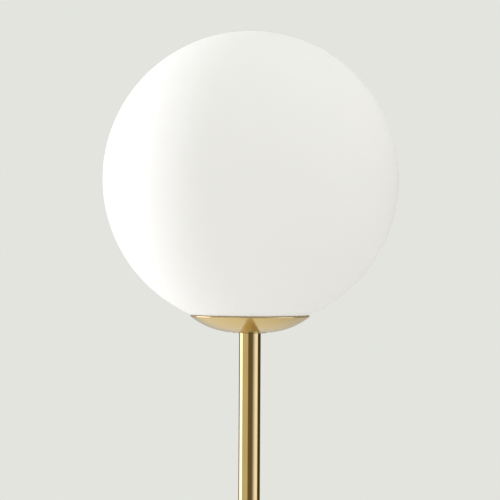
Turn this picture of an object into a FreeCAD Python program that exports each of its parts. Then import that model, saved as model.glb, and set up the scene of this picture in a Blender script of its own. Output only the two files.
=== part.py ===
import FreeCAD, Part
import math
import os
from types import SimpleNamespace

import Sketcher

# Globe floor lamp: an opal glass globe seated in a shallow brass dish, on a slim brass pole of
# three screwed sections, on a round weighted base.
# Millimetres, +Z up. The origin is at the middle of the base, on the floor; the cord leaves at +Y.

V = FreeCAD.Vector
doc = FreeCAD.newDocument("globe_floor_lamp")

# ---------------------------------------------------------------- sizes

SIZES = (
    # base
    ("base_dia", "280", "brass base cover, across"),
    ("base_height", "25", "floor to the top of the base cover"),
    ("cover_wall", "1.2", "base cover sheet"),
    ("cover_edge", "5", "outer radius of the cover's top edge"),
    ("cover_lift", "3.5", "floor to the cover's lower edge"),
    ("pad_thk", "3", "foam pad under the base"),
    ("pad_inset", "6", "pad edge in from the cover's side"),
    ("plate_thk", "1.5", "steel bottom plate"),
    ("side_gap", "0.5", "weight and plate to the cover's side"),
    ("web_thk", "5", "iron left above the nut recess"),
    ("recess_dia", "50", "nut recess under the weight"),
    ("channel_width", "16", "cord channel under the weight"),
    ("channel_depth", "12", "cord channel, from the weight's underside"),
    ("pocket_depth", "13", "terminal pocket, from the weight's underside"),
    ("pocket_near", "32", "pocket's near side from the pole's axis"),
    ("pocket_length", "36", "pocket, away from the axis"),
    ("pocket_left", "18", "pocket, from the axis plane to -X"),
    ("pocket_right", "38", "pocket, from the axis plane to +X"),
    ("plate_screw_inset", "22", "bottom plate's screws, in from the cover's side"),
    ("plate_screw_dia", "4", "bottom plate screws"),
    # cord inlet
    ("inlet_height", "10.5", "floor to the middle of the cord inlet"),
    ("inlet_bore", "6.8", "bush bore, for a round cord"),
    ("inlet_wall", "1.8", "bush wall round the bore"),
    ("inlet_flange", "1.6", "bush flange beyond its body"),
    ("inlet_flange_thk", "1.5", "bush flange"),
    ("inlet_depth", "12", "bush inside the cover"),
    # pole
    ("pole_dia", "22", "pole tube, outside"),
    ("pole_wall", "1.2", "pole tube"),
    ("section_length", "406", "one of the three pole sections"),
    ("section_edge", "0.3", "broken edge at each tube end"),
    ("collar_dia", "34", "thin brass collar at each end of the pole"),
    ("collar_thk", "0.8", "thin brass collar"),
    ("bush_length", "18", "threaded bush fixed in a tube end"),
    ("stud_dia", "13", "hollow stud between sections and into the base"),
    ("stud_bore", "8.5", "wire way through a stud"),
    ("stud_grip", "15", "stud held in a bush"),
    ("nipple_dia", "10", "threaded nipple through the dish"),
    ("nipple_bore", "7", "wire way through the nipple"),
    ("nipple_grip", "14", "nipple held in the top bush"),
    # dish
    ("dish_rim_dia", "121", "dish, across its rim"),
    ("dish_flat_dia", "46", "flat at the bottom of the dish"),
    ("dish_bend_dia", "60", "where the bottom curve meets the side curve"),
    ("dish_bottom_radius", "145", "curve of the dish's bottom"),
    ("dish_rise", "15.9", "flat's underside to the foot of the lip"),
    ("dish_lip", "1.2", "upright lip at the rim"),
    ("lip_round", "0.9", "rounded outer edge on top of the lip"),
    ("dish_wall", "1.2", "dish sheet"),
    # globe
    ("globe_dia", "300", "opal globe, outside"),
    ("glass_wall", "3", "opal glass"),
    ("opening_dia", "84", "hole under the globe"),
    ("rim_gap", "0.4", "glass to the dish's lip"),
    ("edge_cover", "2", "silicone inside the glass edge"),
    ("edge_lip", "1.5", "silicone over the glass"),
    ("edge_reach", "4", "silicone lip outward over the glass"),
    ("seat_reach", "6", "silicone seat outward under the glass"),
    # sprung gallery
    ("gallery_thk", "1.2", "pressed steel gallery"),
    ("gallery_hub_dia", "32", "gallery's flat middle"),
    ("gallery_step_dia", "60", "inner edge of the gallery's flange"),
    ("clip_thk", "0.6", "spring steel clip"),
    ("clip_width", "11", "spring steel clip"),
    ("clip_setback", "3", "clip's leg inside the silicone ring"),
    ("clip_bite", "2.3", "clip's knee out past the silicone's edge"),
    ("clip_tab", "7", "clip's foot on the flange"),
    ("rivet_dia", "3", "clip rivet"),
    # lampholder
    ("holder_dia", "39", "lampholder, outside"),
    ("holder_wall", "2", "lampholder shell"),
    ("holder_collar_dia", "17", "lampholder's threaded collar"),
    ("holder_collar_height", "6", "lampholder's threaded collar"),
    ("dome_height", "24", "lower half of the lampholder"),
    ("skirt_height", "38", "upper half of the lampholder"),
    ("insert_thk", "8", "ceramic insert that carries the contacts"),
    ("shell_bore", "26.7", "brass screw shell, for a 27 mm cap"),
    ("shell_wall", "0.4", "brass screw shell"),
    ("shell_height", "20", "brass screw shell"),
    ("contact_rise", "4.4", "bulb's tip above the insert"),
    # bulb
    ("bulb_dia", "60", "bulb envelope"),
    ("bulb_length", "108", "bulb, tip to top"),
    ("cap_dia", "26.2", "screw cap"),
    ("cap_length", "26", "screw cap and tip"),
    ("bulb_neck_dia", "29", "bulb housing at the cap"),
    ("bulb_shoulder_dia", "52", "bulb housing at the envelope"),
    ("housing_length", "22", "bulb housing"),
    ("housing_flare", "60", "curve of the bulb housing's side"),
    ("envelope_wall", "1", "frosted envelope"),
    ("contact_thk", "0.3", "centre contact and side flange strip"),
    ("post_size", "7", "brass post under the insert"),
    ("holder_grip", "8", "nipple held in the lampholder"),
    # wiring
    ("lead_dia", "2.3", "insulated lead"),
    ("lead_spacing", "3.2", "between the two leads in the pole"),
    ("terminal_pitch", "10", "between the poles of the terminal block"),
    ("block_height", "11", "terminal block"),
    ("block_length", "18", "terminal block, along the wires"),
    ("sleeve_dia", "5", "brass sleeve in the terminal block"),
    ("sleeve_bore", "3.4", "wire hole in a sleeve"),
    # hardware
    ("clamp_thk", "2", "clamp washer under the weight"),
    ("lock_thk", "0.8", "lock washers"),
    ("base_nut_height", "6", "nut on the base stud"),
    ("head_nut_height", "4", "nut on the dish nipple"),
    ("plate_screw_grip", "8", "plate screw in the weight"),
    ("earth_screw_dia", "4", "earth screw"),
    ("tag_thk", "0.8", "earth tag"),
    ("block_screw_dia", "3", "terminal block's fixing screw"),
    ("clamp_screw_dia", "2.5", "screws that clamp a wire"),
    # fits
    ("fit", "0.05", "radial clearance of a screwed or pressed fit"),
    ("seat_gap", "0.3", "between pieces that only rest on each other"),
)

sheet = doc.addObject("Spreadsheet::Sheet", "dims")
for row, (alias, text, note) in enumerate(SIZES, 1):
    sheet.set("A%d" % row, text)
    sheet.setAlias("A%d" % row, alias)
    sheet.set("B%d" % row, note)
doc.recompute()


class Size:
    """A length and the sheet expression that it follows, so that arithmetic keeps the two together."""

    def __init__(self, number, text):
        self.number = float(number)
        self.text = text

    @staticmethod
    def of(value):
        return value if isinstance(value, Size) else Size(value, repr(float(value)))

    def __add__(self, other):
        other = Size.of(other)
        return Size(self.number + other.number, "(%s + %s)" % (self.text, other.text))

    def __sub__(self, other):
        other = Size.of(other)
        return Size(self.number - other.number, "(%s - %s)" % (self.text, other.text))

    def __mul__(self, other):
        other = Size.of(other)
        return Size(self.number * other.number, "(%s * %s)" % (self.text, other.text))

    def __truediv__(self, other):
        other = Size.of(other)
        return Size(self.number / other.number, "(%s / %s)" % (self.text, other.text))

    def __radd__(self, other):
        return Size.of(other) + self

    def __rsub__(self, other):
        return Size.of(other) - self

    def __rmul__(self, other):
        return Size.of(other) * self

    def __neg__(self):
        return Size(-self.number, "(0 - %s)" % self.text)

    def __float__(self):
        return self.number


def across(radius, offset):
    """The other leg of the right triangle on a radius: a circle's reach beside its offset."""
    square = Size.of(radius) * radius - Size.of(offset) * offset
    return Size(math.sqrt(square.number), "sqrt(%s)" % square.text)


d = SimpleNamespace(**{alias: Size(text, "dims." + alias) for alias, text, note in SIZES})

# ---------------------------------------------------------------- how pieces are made

subparts = []


def subpart(piece, label, level=0.0):
    """Names a finished piece and puts it at its level on the pole's axis."""
    piece.Label = label
    if float(level):
        bind(piece, "Placement.Base.z", level)
    subparts.append(piece)
    return piece


def bind(piece, name, value):
    """A property that follows the sheet."""
    value = Size.of(value)
    piece.setExpression(name, value.text)


def origin_plane(body, role):
    return [f for f in body.Origin.OriginFeatures if f.Role == role][0]


def closed_outline(sketch, corners):
    """A closed outline through corners (x, y) or (x, y, radius), all driven from the sheet.

    A radius bends the edge that leaves its corner, and is positive where the arc's middle is on
    the left."""
    count = len(corners)
    ends = []
    for i, corner in enumerate(corners):
        after = corners[(i + 1) % count]
        p = V(float(corner[0]), float(corner[1]), 0)
        q = V(float(after[0]), float(after[1]), 0)
        if len(corner) == 2:
            geo = sketch.addGeometry(Part.LineSegment(p, q), False)
            ends.append((geo, 1, 2))
            continue
        radius = abs(float(corner[2]))
        chord = q - p
        rise = math.sqrt(radius**2 - (chord.Length / 2) ** 2)
        left = V(-chord.y, chord.x, 0).normalize()
        turn_left = float(corner[2]) > 0
        middle = (p + q) * 0.5 + left * (rise if turn_left else -rise)
        first, last = (p, q) if turn_left else (q, p)
        start = math.atan2(first.y - middle.y, first.x - middle.x)
        stop = math.atan2(last.y - middle.y, last.x - middle.x)
        circle = Part.Circle(middle, V(0, 0, 1), radius)
        geo = sketch.addGeometry(Part.ArcOfCircle(circle, start, stop), False)
        ends.append((geo, 1, 2) if turn_left else (geo, 2, 1))
    for i, (geo, head, tail) in enumerate(ends):
        next_geo, next_head, _ = ends[(i + 1) % count]
        sketch.addConstraint(Sketcher.Constraint("Coincident", geo, tail, next_geo, next_head))
    for (geo, head, _), corner in zip(ends, corners):
        for kind, value in (("DistanceX", corner[0]), ("DistanceY", corner[1])):
            value = Size.of(value)
            n = sketch.addConstraint(Sketcher.Constraint(kind, -1, 1, geo, head, value.number))
            sketch.setExpression("Constraints[%d]" % n, value.text)
        if len(corner) == 3:
            radius = Size.of(corner[2])
            radius = radius if radius.number > 0 else -radius
            n = sketch.addConstraint(Sketcher.Constraint("Radius", geo, radius.number))
            sketch.setExpression("Constraints[%d]" % n, radius.text)


def new_sketch(body, name, role):
    sketch = body.newObject("Sketcher::SketchObject", name)
    sketch.AttachmentSupport = [(origin_plane(body, role), "")]
    sketch.MapMode = "FlatFace"
    return sketch


def turned(name, corners):
    """A piece turned about the pole's axis from its half outline: x outward, y up."""
    body = doc.addObject("PartDesign::Body", name)
    sketch = new_sketch(body, name + "_outline", "XZ_Plane")
    closed_outline(sketch, corners)
    turn = body.newObject("PartDesign::Revolution", name + "_turn")
    turn.Profile = sketch
    turn.ReferenceAxis = (sketch, ["V_Axis"])
    turn.Angle = 360
    sketch.Visibility = False
    return body


def ring(name, outer, bore, low, high):
    """A plain turned ring; a bore of 0 makes a disc."""
    return turned(name, [(bore, low), (outer, low), (outer, high), (bore, high)])


def at(piece, x, y, z, turn=None):
    """Puts a building block at a place that follows the sheet, turned by a fixed rotation."""
    if turn is not None:
        piece.Placement = FreeCAD.Placement(V(0, 0, 0), turn)
    for name, value in (("x", x), ("y", y), ("z", z)):
        bind(piece, "Placement.Base." + name, value)
    return piece


ALONG_Y = FreeCAD.Rotation(V(1, 0, 0), -90)
ALONG_X = FreeCAD.Rotation(V(0, 1, 0), 90)


def rod(name, radius, length, x=0, y=0, z=0, turn=None):
    piece = doc.addObject("Part::Cylinder", name)
    bind(piece, "Radius", radius)
    bind(piece, "Height", length)
    return at(piece, x, y, z, turn)


def block(name, x, y, z):
    """A box between two places on each axis."""
    piece = doc.addObject("Part::Box", name)
    bind(piece, "Length", x[1] - x[0])
    bind(piece, "Width", y[1] - y[0])
    bind(piece, "Height", z[1] - z[0])
    return at(piece, x[0], y[0], z[0])


def cut(name, base, *tools):
    """A piece with holes."""
    tool = tools[0]
    if len(tools) > 1:
        tool = doc.addObject("Part::MultiFuse", name + "_holes")
        tool.Shapes = list(tools)
    piece = doc.addObject("Part::Cut", name)
    piece.Base = base
    piece.Tool = tool
    return piece


def join(name, *pieces):
    piece = doc.addObject("Part::MultiFuse", name)
    piece.Shapes = list(pieces)
    piece.Refine = True
    return piece


def together(name, pieces):
    """Like pieces that share a node, each still a solid of its own."""
    piece = doc.addObject("Part::Compound", name)
    piece.Links = list(pieces)
    return piece


def hex_nut(name, flats, height, bore, low):
    prism = doc.addObject("Part::Prism", name + "_hexagon")
    prism.Polygon = 6
    bind(prism, "Circumradius", flats / math.sqrt(3))
    bind(prism, "Height", height)
    at(prism, 0, 0, low)
    return cut(name, prism, rod(name + "_thread", bore, height + 2, z=low - 1))


def round_screw(name, head_radius, head_height, shank_radius, shank_length, x, y, z, turn=None):
    """A screw whose head sits at its place and whose shank runs along its axis."""
    head = rod(name + "_head", head_radius, head_height)
    shank = rod(name + "_shank", shank_radius, shank_length, z=head_height - 0.5)
    return at(join(name, head, shank), x, y, z, turn)


def bent_path(points, radii):
    """Straight runs through points, with a tangent arc of its own radius at each inner point."""
    edges = []
    here = points[0]
    for i in range(1, len(points) - 1):
        before = (points[i - 1] - points[i]).normalize()
        after = (points[i + 1] - points[i]).normalize()
        half = before.getAngle(after) / 2
        step = radii[i - 1] / math.tan(half)
        middle = points[i] + (before + after).normalize() * (radii[i - 1] / math.sin(half))
        enter = points[i] + before * step
        leave = points[i] + after * step
        crown = middle + (points[i] - middle).normalize() * radii[i - 1]
        edges.append(Part.LineSegment(here, enter).toShape())
        edges.append(Part.Arc(enter, crown, leave).toShape())
        here = leave
    edges.append(Part.LineSegment(here, points[-1]).toShape())
    return Part.Wire(edges)


def swept(name, path, section):
    piece = doc.addObject("Part::Feature", name)
    piece.Shape = path.makePipeShell([section], True, False)
    return piece


def wire_along(name, points, radii, diameter):
    """A round lead along a path. Its volume is compared with its section times its length."""
    path = bent_path(points, radii)
    first = (points[1] - points[0]).normalize()
    section = Part.Wire(Part.Circle(points[0], first, diameter / 2).toShape())
    piece = swept(name, path, section)
    expected = math.pi * diameter**2 / 4 * path.Length
    print("%s: %.0f mm long, bends %s mm, volume %.4f of section times length" % (
        name, path.Length, [round(r, 1) for r in radii], piece.Shape.Volume / expected))
    return piece


def strip_along(name, points, radii, thickness, width):
    """A flat strip bent in the XZ plane, its width along Y."""
    path = bent_path(points, radii)
    first = (points[1] - points[0]).normalize()
    side = V(0, 1, 0) * (width / 2)
    face = first.cross(V(0, 1, 0)).normalize() * (thickness / 2)
    p = points[0]
    corners = [p + side + face, p - side + face, p - side - face, p + side - face]
    return swept(name, path, Part.makePolygon(corners + corners[:1]))


def point(x, y, z):
    return V(float(x), float(y), float(z))


def polar(radius, degrees):
    angle = math.radians(degrees)
    return radius * math.cos(angle), radius * math.sin(angle)


# ---------------------------------------------------------------- levels and radii shared by the pieces

pole_radius = d.pole_dia / 2
tube_bore = pole_radius - d.pole_wall
base_radius = d.base_dia / 2
plate_level = d.pad_thk
weight_level = d.pad_thk + d.plate_thk
cover_inside = d.base_height - d.cover_wall
recess_roof = cover_inside - d.web_thk
weight_radius = base_radius - d.cover_wall - d.side_gap
pole_level = d.base_height + d.collar_thk
SECTIONS = 3
joint_levels = [pole_level + d.section_length * k for k in range(1, SECTIONS)]
pole_top = pole_level + d.section_length * SECTIONS
dish_level = pole_top + d.collar_thk

# In the dish's own frame, up from the flat under it.
rim_radius = d.dish_rim_dia / 2
flat_radius = d.dish_flat_dia / 2
bend_radius = d.dish_bend_dia / 2
bottom_middle = across(d.dish_bottom_radius, flat_radius)
bend_rise = bottom_middle - across(d.dish_bottom_radius, bend_radius)
tilt_sine = bend_radius / d.dish_bottom_radius
tilt_cosine = across(Size.of(1), tilt_sine)
# The side curve is the circle tangent to the bottom curve that ends at the foot of the lip.
side_run = rim_radius - bend_radius
side_climb = d.dish_rise - bend_rise
side_chord = side_run * side_run + side_climb * side_climb
side_radius = side_chord / ((tilt_cosine * side_climb - tilt_sine * side_run) * 2)
side_out = bend_radius - side_radius * tilt_sine
side_up = bend_rise + side_radius * tilt_cosine
lip_top = d.dish_rise + d.dish_lip
lip_bore = rim_radius - d.dish_wall


def dish_inside(radius):
    """Height of the dish's inner face at a radius on its side curve."""
    return side_up - across(side_radius - d.dish_wall, radius - side_out)


globe_radius = d.globe_dia / 2
opening_radius = d.opening_dia / 2
globe_rise = lip_top + across(globe_radius, lip_bore - d.rim_gap)
ring_bore = opening_radius - d.edge_cover
ring_inner_radius = globe_radius - d.glass_wall - d.fit - d.edge_lip


def under_globe(sphere_radius, radius):
    """Height of a sphere about the globe's middle, on its underside, at a radius."""
    return globe_rise - across(sphere_radius, radius)


hook_level = under_globe(ring_inner_radius, ring_bore)
clip_radius = ring_bore - d.clip_setback
flange_edge = clip_radius + d.clip_thk
flange_low = dish_inside(flange_edge) + d.seat_gap
flange_top = flange_low + d.gallery_thk
rivet_radius = clip_radius - d.clip_tab / 2
CLIP_ANGLES = (90, 210, 330)
SHELL_RIVET_ANGLES = (120, 240)
gallery_low = d.dish_wall
lock_low = gallery_low + d.gallery_thk
nut_low = lock_low + d.lock_thk
holder_low = nut_low + d.head_nut_height
nipple_top = holder_low + d.holder_grip
holder_radius = d.holder_dia / 2
dome_top = holder_low + d.dome_height
skirt_top = dome_top + d.skirt_height
insert_top = dome_top + d.insert_thk
post_low = dome_top - d.post_size
centre_post = d.shell_bore * 0.2
shell_post = d.shell_bore * 0.41
bulb_tip = insert_top + d.contact_rise
cap_top = bulb_tip + d.cap_length
housing_top = cap_top + d.housing_length
bulb_top = bulb_tip + d.bulb_length

inlet_body = d.inlet_bore / 2 + d.inlet_wall
plate_screw_places = [polar(base_radius - d.plate_screw_inset, 45 + 90 * k) for k in range(4)]
pocket_roof = weight_level + d.pocket_depth
TERMINALS = (-1, 0, 1)
block_width = d.terminal_pitch * 3 + 2
block_near = d.pocket_near + 12
block_far = block_near + d.block_length
block_middle = block_near + d.block_length / 2
block_low = pocket_roof - d.block_height
wire_level = block_low + d.sleeve_dia / 2 + 2
fixing_x = d.terminal_pitch / 2
earth_x = block_width / 2 + 14
earth_y = block_near + 8
barrel_drop = d.lead_dia / 2 + 2.4

# ---------------------------------------------------------------- base


def make_base_cover():
    """Spun cover with a rounded edge, a hole for the stud and one for the cord bush."""
    inner_edge = d.cover_edge - d.cover_wall
    inside = base_radius - d.cover_wall
    bore = d.stud_dia / 2 + d.seat_gap
    shell = turned("cover_shell", [
        (bore, cover_inside),
        (inside - inner_edge, cover_inside, -inner_edge),
        (inside, cover_inside - inner_edge),
        (inside, d.cover_lift),
        (base_radius, d.cover_lift),
        (base_radius, d.base_height - d.cover_edge, d.cover_edge),
        (base_radius - d.cover_edge, d.base_height),
        (bore, d.base_height),
    ])
    reach = d.inlet_depth
    hole = rod(
        "cover_inlet", inlet_body + d.fit, reach * 2, 0, base_radius - reach, d.inlet_height, ALONG_Y)
    subpart(cut("cover_with_inlet", shell, hole), "base_cover")


def make_base_weight():
    """Cast iron disc: nut recess, terminal pocket and cord channel underneath, tapped holes."""
    edge = d.cover_edge
    bore = d.stud_dia / 2 + d.seat_gap
    disc = turned("weight_disc", [
        (bore, weight_level),
        (weight_radius - 1, weight_level),
        (weight_radius, weight_level + 1),
        (weight_radius, cover_inside - edge, edge),
        (weight_radius - edge, cover_inside),
        (bore, cover_inside),
    ])
    below = weight_level - 1
    recess = rod("weight_recess", d.recess_dia / 2, recess_roof - below, z=below)
    channel = block(
        "weight_channel",
        (-d.channel_width / 2, d.channel_width / 2),
        (Size.of(0), base_radius),
        (below, weight_level + d.channel_depth),
    )
    pocket = block(
        "weight_pocket",
        (-d.pocket_left, d.pocket_right),
        (d.pocket_near, d.pocket_near + d.pocket_length),
        (below, pocket_roof),
    )
    tapped = [
        rod("weight_tapped_%d" % k, d.plate_screw_dia / 2 + d.fit, d.plate_screw_grip + 2, x, y, below)
        for k, (x, y) in enumerate(plate_screw_places)
    ]
    roof = pocket_roof - 1
    earth_bore = d.earth_screw_dia / 2 + d.fit
    block_bore = d.block_screw_dia / 2 + d.fit
    tapped.append(rod("weight_earth_hole", earth_bore, 6, earth_x, earth_y, roof))
    tapped.append(rod("weight_block_hole", block_bore, 6, fixing_x, block_middle, roof))
    subpart(cut("weight_machined", disc, recess, channel, pocket, *tapped), "base_weight")


def make_base_bottom():
    """Steel plate under the weight, its screws, and the foam pad that stands on the floor."""
    disc = ring("plate_disc", weight_radius, 0, plate_level, weight_level)
    holes = [
        rod("plate_hole_%d" % k, d.plate_screw_dia / 2 + d.seat_gap, 6, x, y, plate_level - 2)
        for k, (x, y) in enumerate(plate_screw_places)
    ]
    subpart(cut("plate_drilled", disc, *holes), "base_plate")
    pad = ring("pad_disc", base_radius - d.pad_inset, 0, 0, d.pad_thk)
    openings = [
        rod("pad_hole_%d" % k, d.plate_screw_dia + 1.5, d.pad_thk + 4, x, y, -2)
        for k, (x, y) in enumerate(plate_screw_places)
    ]
    subpart(cut("pad_punched", pad, *openings), "base_pad")
    head = d.plate_screw_dia * 0.55
    screws = [
        round_screw(
            "plate_screw_%d" % k, d.plate_screw_dia, head, d.plate_screw_dia / 2,
            d.plate_thk + d.plate_screw_grip, x, y, plate_level - head)
        for k, (x, y) in enumerate(plate_screw_places)
    ]
    subpart(together("plate_screw_set", screws), "base_plate_screws")


def make_base_hardware():
    """The hollow stud that pulls the pole down on the base, and what clamps it under the weight."""
    clamp_low = recess_roof - d.clamp_thk
    base_lock_low = clamp_low - d.lock_thk
    base_nut_low = base_lock_low - d.base_nut_height
    bore = d.stud_dia / 2 + d.fit
    stud_end = base_nut_low - 0.5
    stud_top = pole_level + d.stud_grip
    subpart(ring("stud_base", d.stud_dia / 2, d.stud_bore / 2, stud_end, stud_top), "base_stud")
    subpart(ring("washer_clamp", d.stud_dia * 1.5, bore, clamp_low, recess_roof), "base_clamp_washer")
    lock = ring("washer_base_lock", d.stud_dia * 0.8, bore, base_lock_low, clamp_low)
    subpart(lock, "base_lock_washer")
    subpart(hex_nut("nut_base", d.stud_dia * 1.5, d.base_nut_height, bore, base_nut_low), "base_nut")
    subpart(ring("collar_foot", d.collar_dia / 2, bore, d.base_height, pole_level), "foot_collar")


def make_cord_bush():
    """Nylon bush for the cord: a flange outside, a barb behind the cover's wall and a bevelled mouth."""
    body = inlet_body
    bore = d.inlet_bore / 2
    mouth = d.inlet_flange_thk
    barb = -d.cover_wall - d.seat_gap
    bush = turned("bush_cord", [
        (bore, -d.inlet_depth),
        (body - 0.6, -d.inlet_depth),
        (body, 2 - d.inlet_depth),
        (body, barb - 2.4),
        (body + 0.5, barb),
        (body, barb),
        (body, d.seat_gap),
        (body + d.inlet_flange, d.seat_gap),
        (body + d.inlet_flange, mouth - 0.6),
        (body + d.inlet_flange - 0.6, mouth),
        (bore, mouth),
    ])
    subpart(at(bush, 0, base_radius, d.inlet_height, ALONG_Y), "cord_bush")


# ---------------------------------------------------------------- wiring in the base

def make_terminal_block():
    """Three-pole screw block under the pocket's roof: body, sleeves, wire screws, fixing screw."""
    body = block(
        "block_body",
        (-block_width / 2, block_width / 2),
        (block_near, block_far),
        (block_low, pocket_roof),
    )
    sleeves, screws, holes = [], [], []
    outer = d.sleeve_dia / 2
    pin = d.clamp_screw_dia / 2
    drop = wire_level - outer - block_low
    for k in TERMINALS:
        x = d.terminal_pitch * k
        n = k + 1
        through = d.block_length + 2
        near = block_near - 1
        length = d.block_length - 2
        hole = rod("block_bore_%d" % n, outer + d.fit, through, x, near, wire_level, ALONG_Y)
        holes.append(hole)
        tube = rod("sleeve_tube_%d" % n, outer, length, x, block_near + 1, wire_level, ALONG_Y)
        bore = rod("sleeve_bore_%d" % n, d.sleeve_bore / 2, through, x, near, wire_level, ALONG_Y)
        bores = [bore]
        for side, y in enumerate((block_near + 4.5, block_far - 4.5)):
            name = "%d_%d" % (n, side)
            thread_low = wire_level - outer - 1
            bores.append(rod("sleeve_thread_" + name, pin + d.fit, outer + 1, x, y, thread_low))
            holes.append(rod("block_well_" + name, pin + 0.6, drop + outer, x, y, block_low - 1))
            screws.append(rod("wire_screw_" + name, pin, drop + 0.9, x, y, block_low + d.seat_gap))
        sleeves.append(cut("sleeve_%d" % n, tube, *bores))
    clearance = d.block_screw_dia / 2 + 0.15
    depth = d.block_height + 2
    holes.append(rod("block_fixing_hole", clearance, depth, fixing_x, block_middle, block_low - 1))
    subpart(cut("block_moulded", body, *holes), "terminal_block")
    subpart(together("sleeve_set", sleeves), "terminal_sleeves")
    subpart(together("wire_screw_set", screws), "terminal_screws")
    head = d.block_screw_dia * 0.45
    fixing = round_screw(
        "screw_block", d.block_screw_dia * 0.9, head, d.block_screw_dia / 2,
        d.block_height + 4, fixing_x, block_middle, block_low - head)
    subpart(fixing, "terminal_block_screw")


def make_earth():
    """Ring tag under the pocket's roof with its screw, and the lead from the block's third pole."""
    tag_low = pocket_roof - d.tag_thk
    barrel_z = pocket_roof - barrel_drop
    barrel_end = earth_y - 5
    reach = barrel_end - 5
    shank = d.earth_screw_dia / 2
    eye = rod("tag_eye", shank + 2, d.tag_thk, earth_x, earth_y, tag_low)
    tongue = block(
        "tag_tongue",
        (earth_x - 1.5, earth_x + 1.5),
        (barrel_end - 3, earth_y - 1),
        (tag_low, pocket_roof),
    )
    neck = block(
        "tag_neck",
        (earth_x - 1, earth_x + 1),
        (barrel_end - 3, barrel_end),
        (barrel_z + 1.3, tag_low + 0.2),
    )
    barrel = rod("tag_barrel", d.lead_dia / 2 + 0.7, 5, earth_x, reach, barrel_z, ALONG_Y)
    crimp = rod("tag_crimp", d.lead_dia / 2 + d.fit, 7, earth_x, reach - 1, barrel_z, ALONG_Y)
    eye_hole = rod("tag_hole", shank + 0.15, 4, earth_x, earth_y, tag_low - 1)
    blank = join("tag_blank", eye, tongue, neck, barrel)
    subpart(cut("tag_pressed", blank, crimp, eye_hole), "earth_tag")
    screw = round_screw("screw_earth", shank * 1.9, 2.2, shank, 5.5, earth_x, earth_y, tag_low - 2.2)
    subpart(screw, "earth_screw")
    x = d.terminal_pitch
    y = block_near - 5.5
    points = [
        point(x, block_near + 6, wire_level),
        point(x, y, wire_level),
        point(earth_x, y, barrel_z),
        point(earth_x, reach + 3, barrel_z),
    ]
    subpart(wire_along("lead_earth", points, (2.6, 2.6), float(d.lead_dia)), "earth_lead")


def make_pole_leads():
    """Live and neutral leads: from the block, under the stud, up the pole and out to the two posts."""
    floor_run = weight_level + d.lead_dia / 2 + 0.6
    start = block_near + 6
    for label, side, pole, post in (
        ("neutral_lead", -0.5, -1, -float(centre_post)),
        ("live_lead", 0.5, 0, float(shell_post)),
    ):
        x = float(d.lead_spacing) * side
        terminal = float(d.terminal_pitch) * pole
        top = float(dish_level)
        points = [
            point(terminal, start, wire_level),
            point(terminal, block_near - 3, wire_level),
            point(x + (terminal - x) * 0.25, block_near - 18, floor_run),
            point(x, 0, floor_run),
            point(x, 0, nipple_top + top + 0.5),
            point(post, 0, post_low + top - 1.5),
            point(post, 0, post_low + top + 4),
        ]
        bends = (6.0, 8.0, 6.5, 3.2, 2.6)
        subpart(wire_along("lead_" + label, points, bends, float(d.lead_dia)), label)


# ---------------------------------------------------------------- pole


def make_pole():
    """Three tube sections butted end to end on hollow studs, with a bush fixed in each end."""
    e = d.section_edge
    names = ("pole_lower_section", "pole_middle_section", "pole_upper_section")
    for k, name in enumerate(names):
        tube = turned("tube_%d" % k, [
            (tube_bore, 0),
            (pole_radius - e, 0),
            (pole_radius, e),
            (pole_radius, d.section_length - e),
            (pole_radius - e, d.section_length),
            (tube_bore, d.section_length),
        ])
        subpart(tube, name, pole_level + d.section_length * k)
    outer = tube_bore - d.fit
    bore = d.stud_dia / 2 + d.fit
    length = d.bush_length
    subpart(ring("bush_foot", outer, bore, 0, length), "pole_foot_bush", pole_level)
    for level, word in zip(joint_levels, ("lower", "upper")):
        pair = [
            ring("bush_%s_under" % word, outer, bore, -length, 0),
            ring("bush_%s_over" % word, outer, bore, 0, length),
        ]
        subpart(together("bushes_" + word, pair), word + "_joint_bushes", level)
        stud = ring("stud_" + word, d.stud_dia / 2, d.stud_bore / 2, -d.stud_grip, d.stud_grip)
        subpart(stud, word + "_joint_stud", level)
    thread = d.nipple_dia / 2 + d.fit
    subpart(ring("bush_top", outer, thread, -length, 0), "pole_top_bush", pole_top)
    collar = ring("collar_head", d.collar_dia / 2, thread, 0, d.collar_thk)
    subpart(collar, "head_collar", pole_top)


# ---------------------------------------------------------------- dish and gallery


def make_dish():
    """The spun dish: a flat for the collar, two tangent curves and a short rounded lip round the globe."""
    bore = d.nipple_dia / 2 + d.fit
    wall = d.dish_wall
    dish = turned("dish_spun", [
        (bore, 0),
        (flat_radius, 0, d.dish_bottom_radius),
        (bend_radius, bend_rise, side_radius),
        (rim_radius, d.dish_rise),
        (rim_radius, lip_top - d.lip_round, d.lip_round),
        (rim_radius - d.lip_round, lip_top),
        (lip_bore, lip_top),
        (lip_bore, dish_inside(lip_bore), -(side_radius - wall)),
        (bend_radius - wall * tilt_sine, bend_rise + wall * tilt_cosine, wall - d.dish_bottom_radius),
        (across(d.dish_bottom_radius - wall, bottom_middle - wall), wall),
        (bore, wall),
    ])
    subpart(dish, "dish", dish_level)


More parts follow.
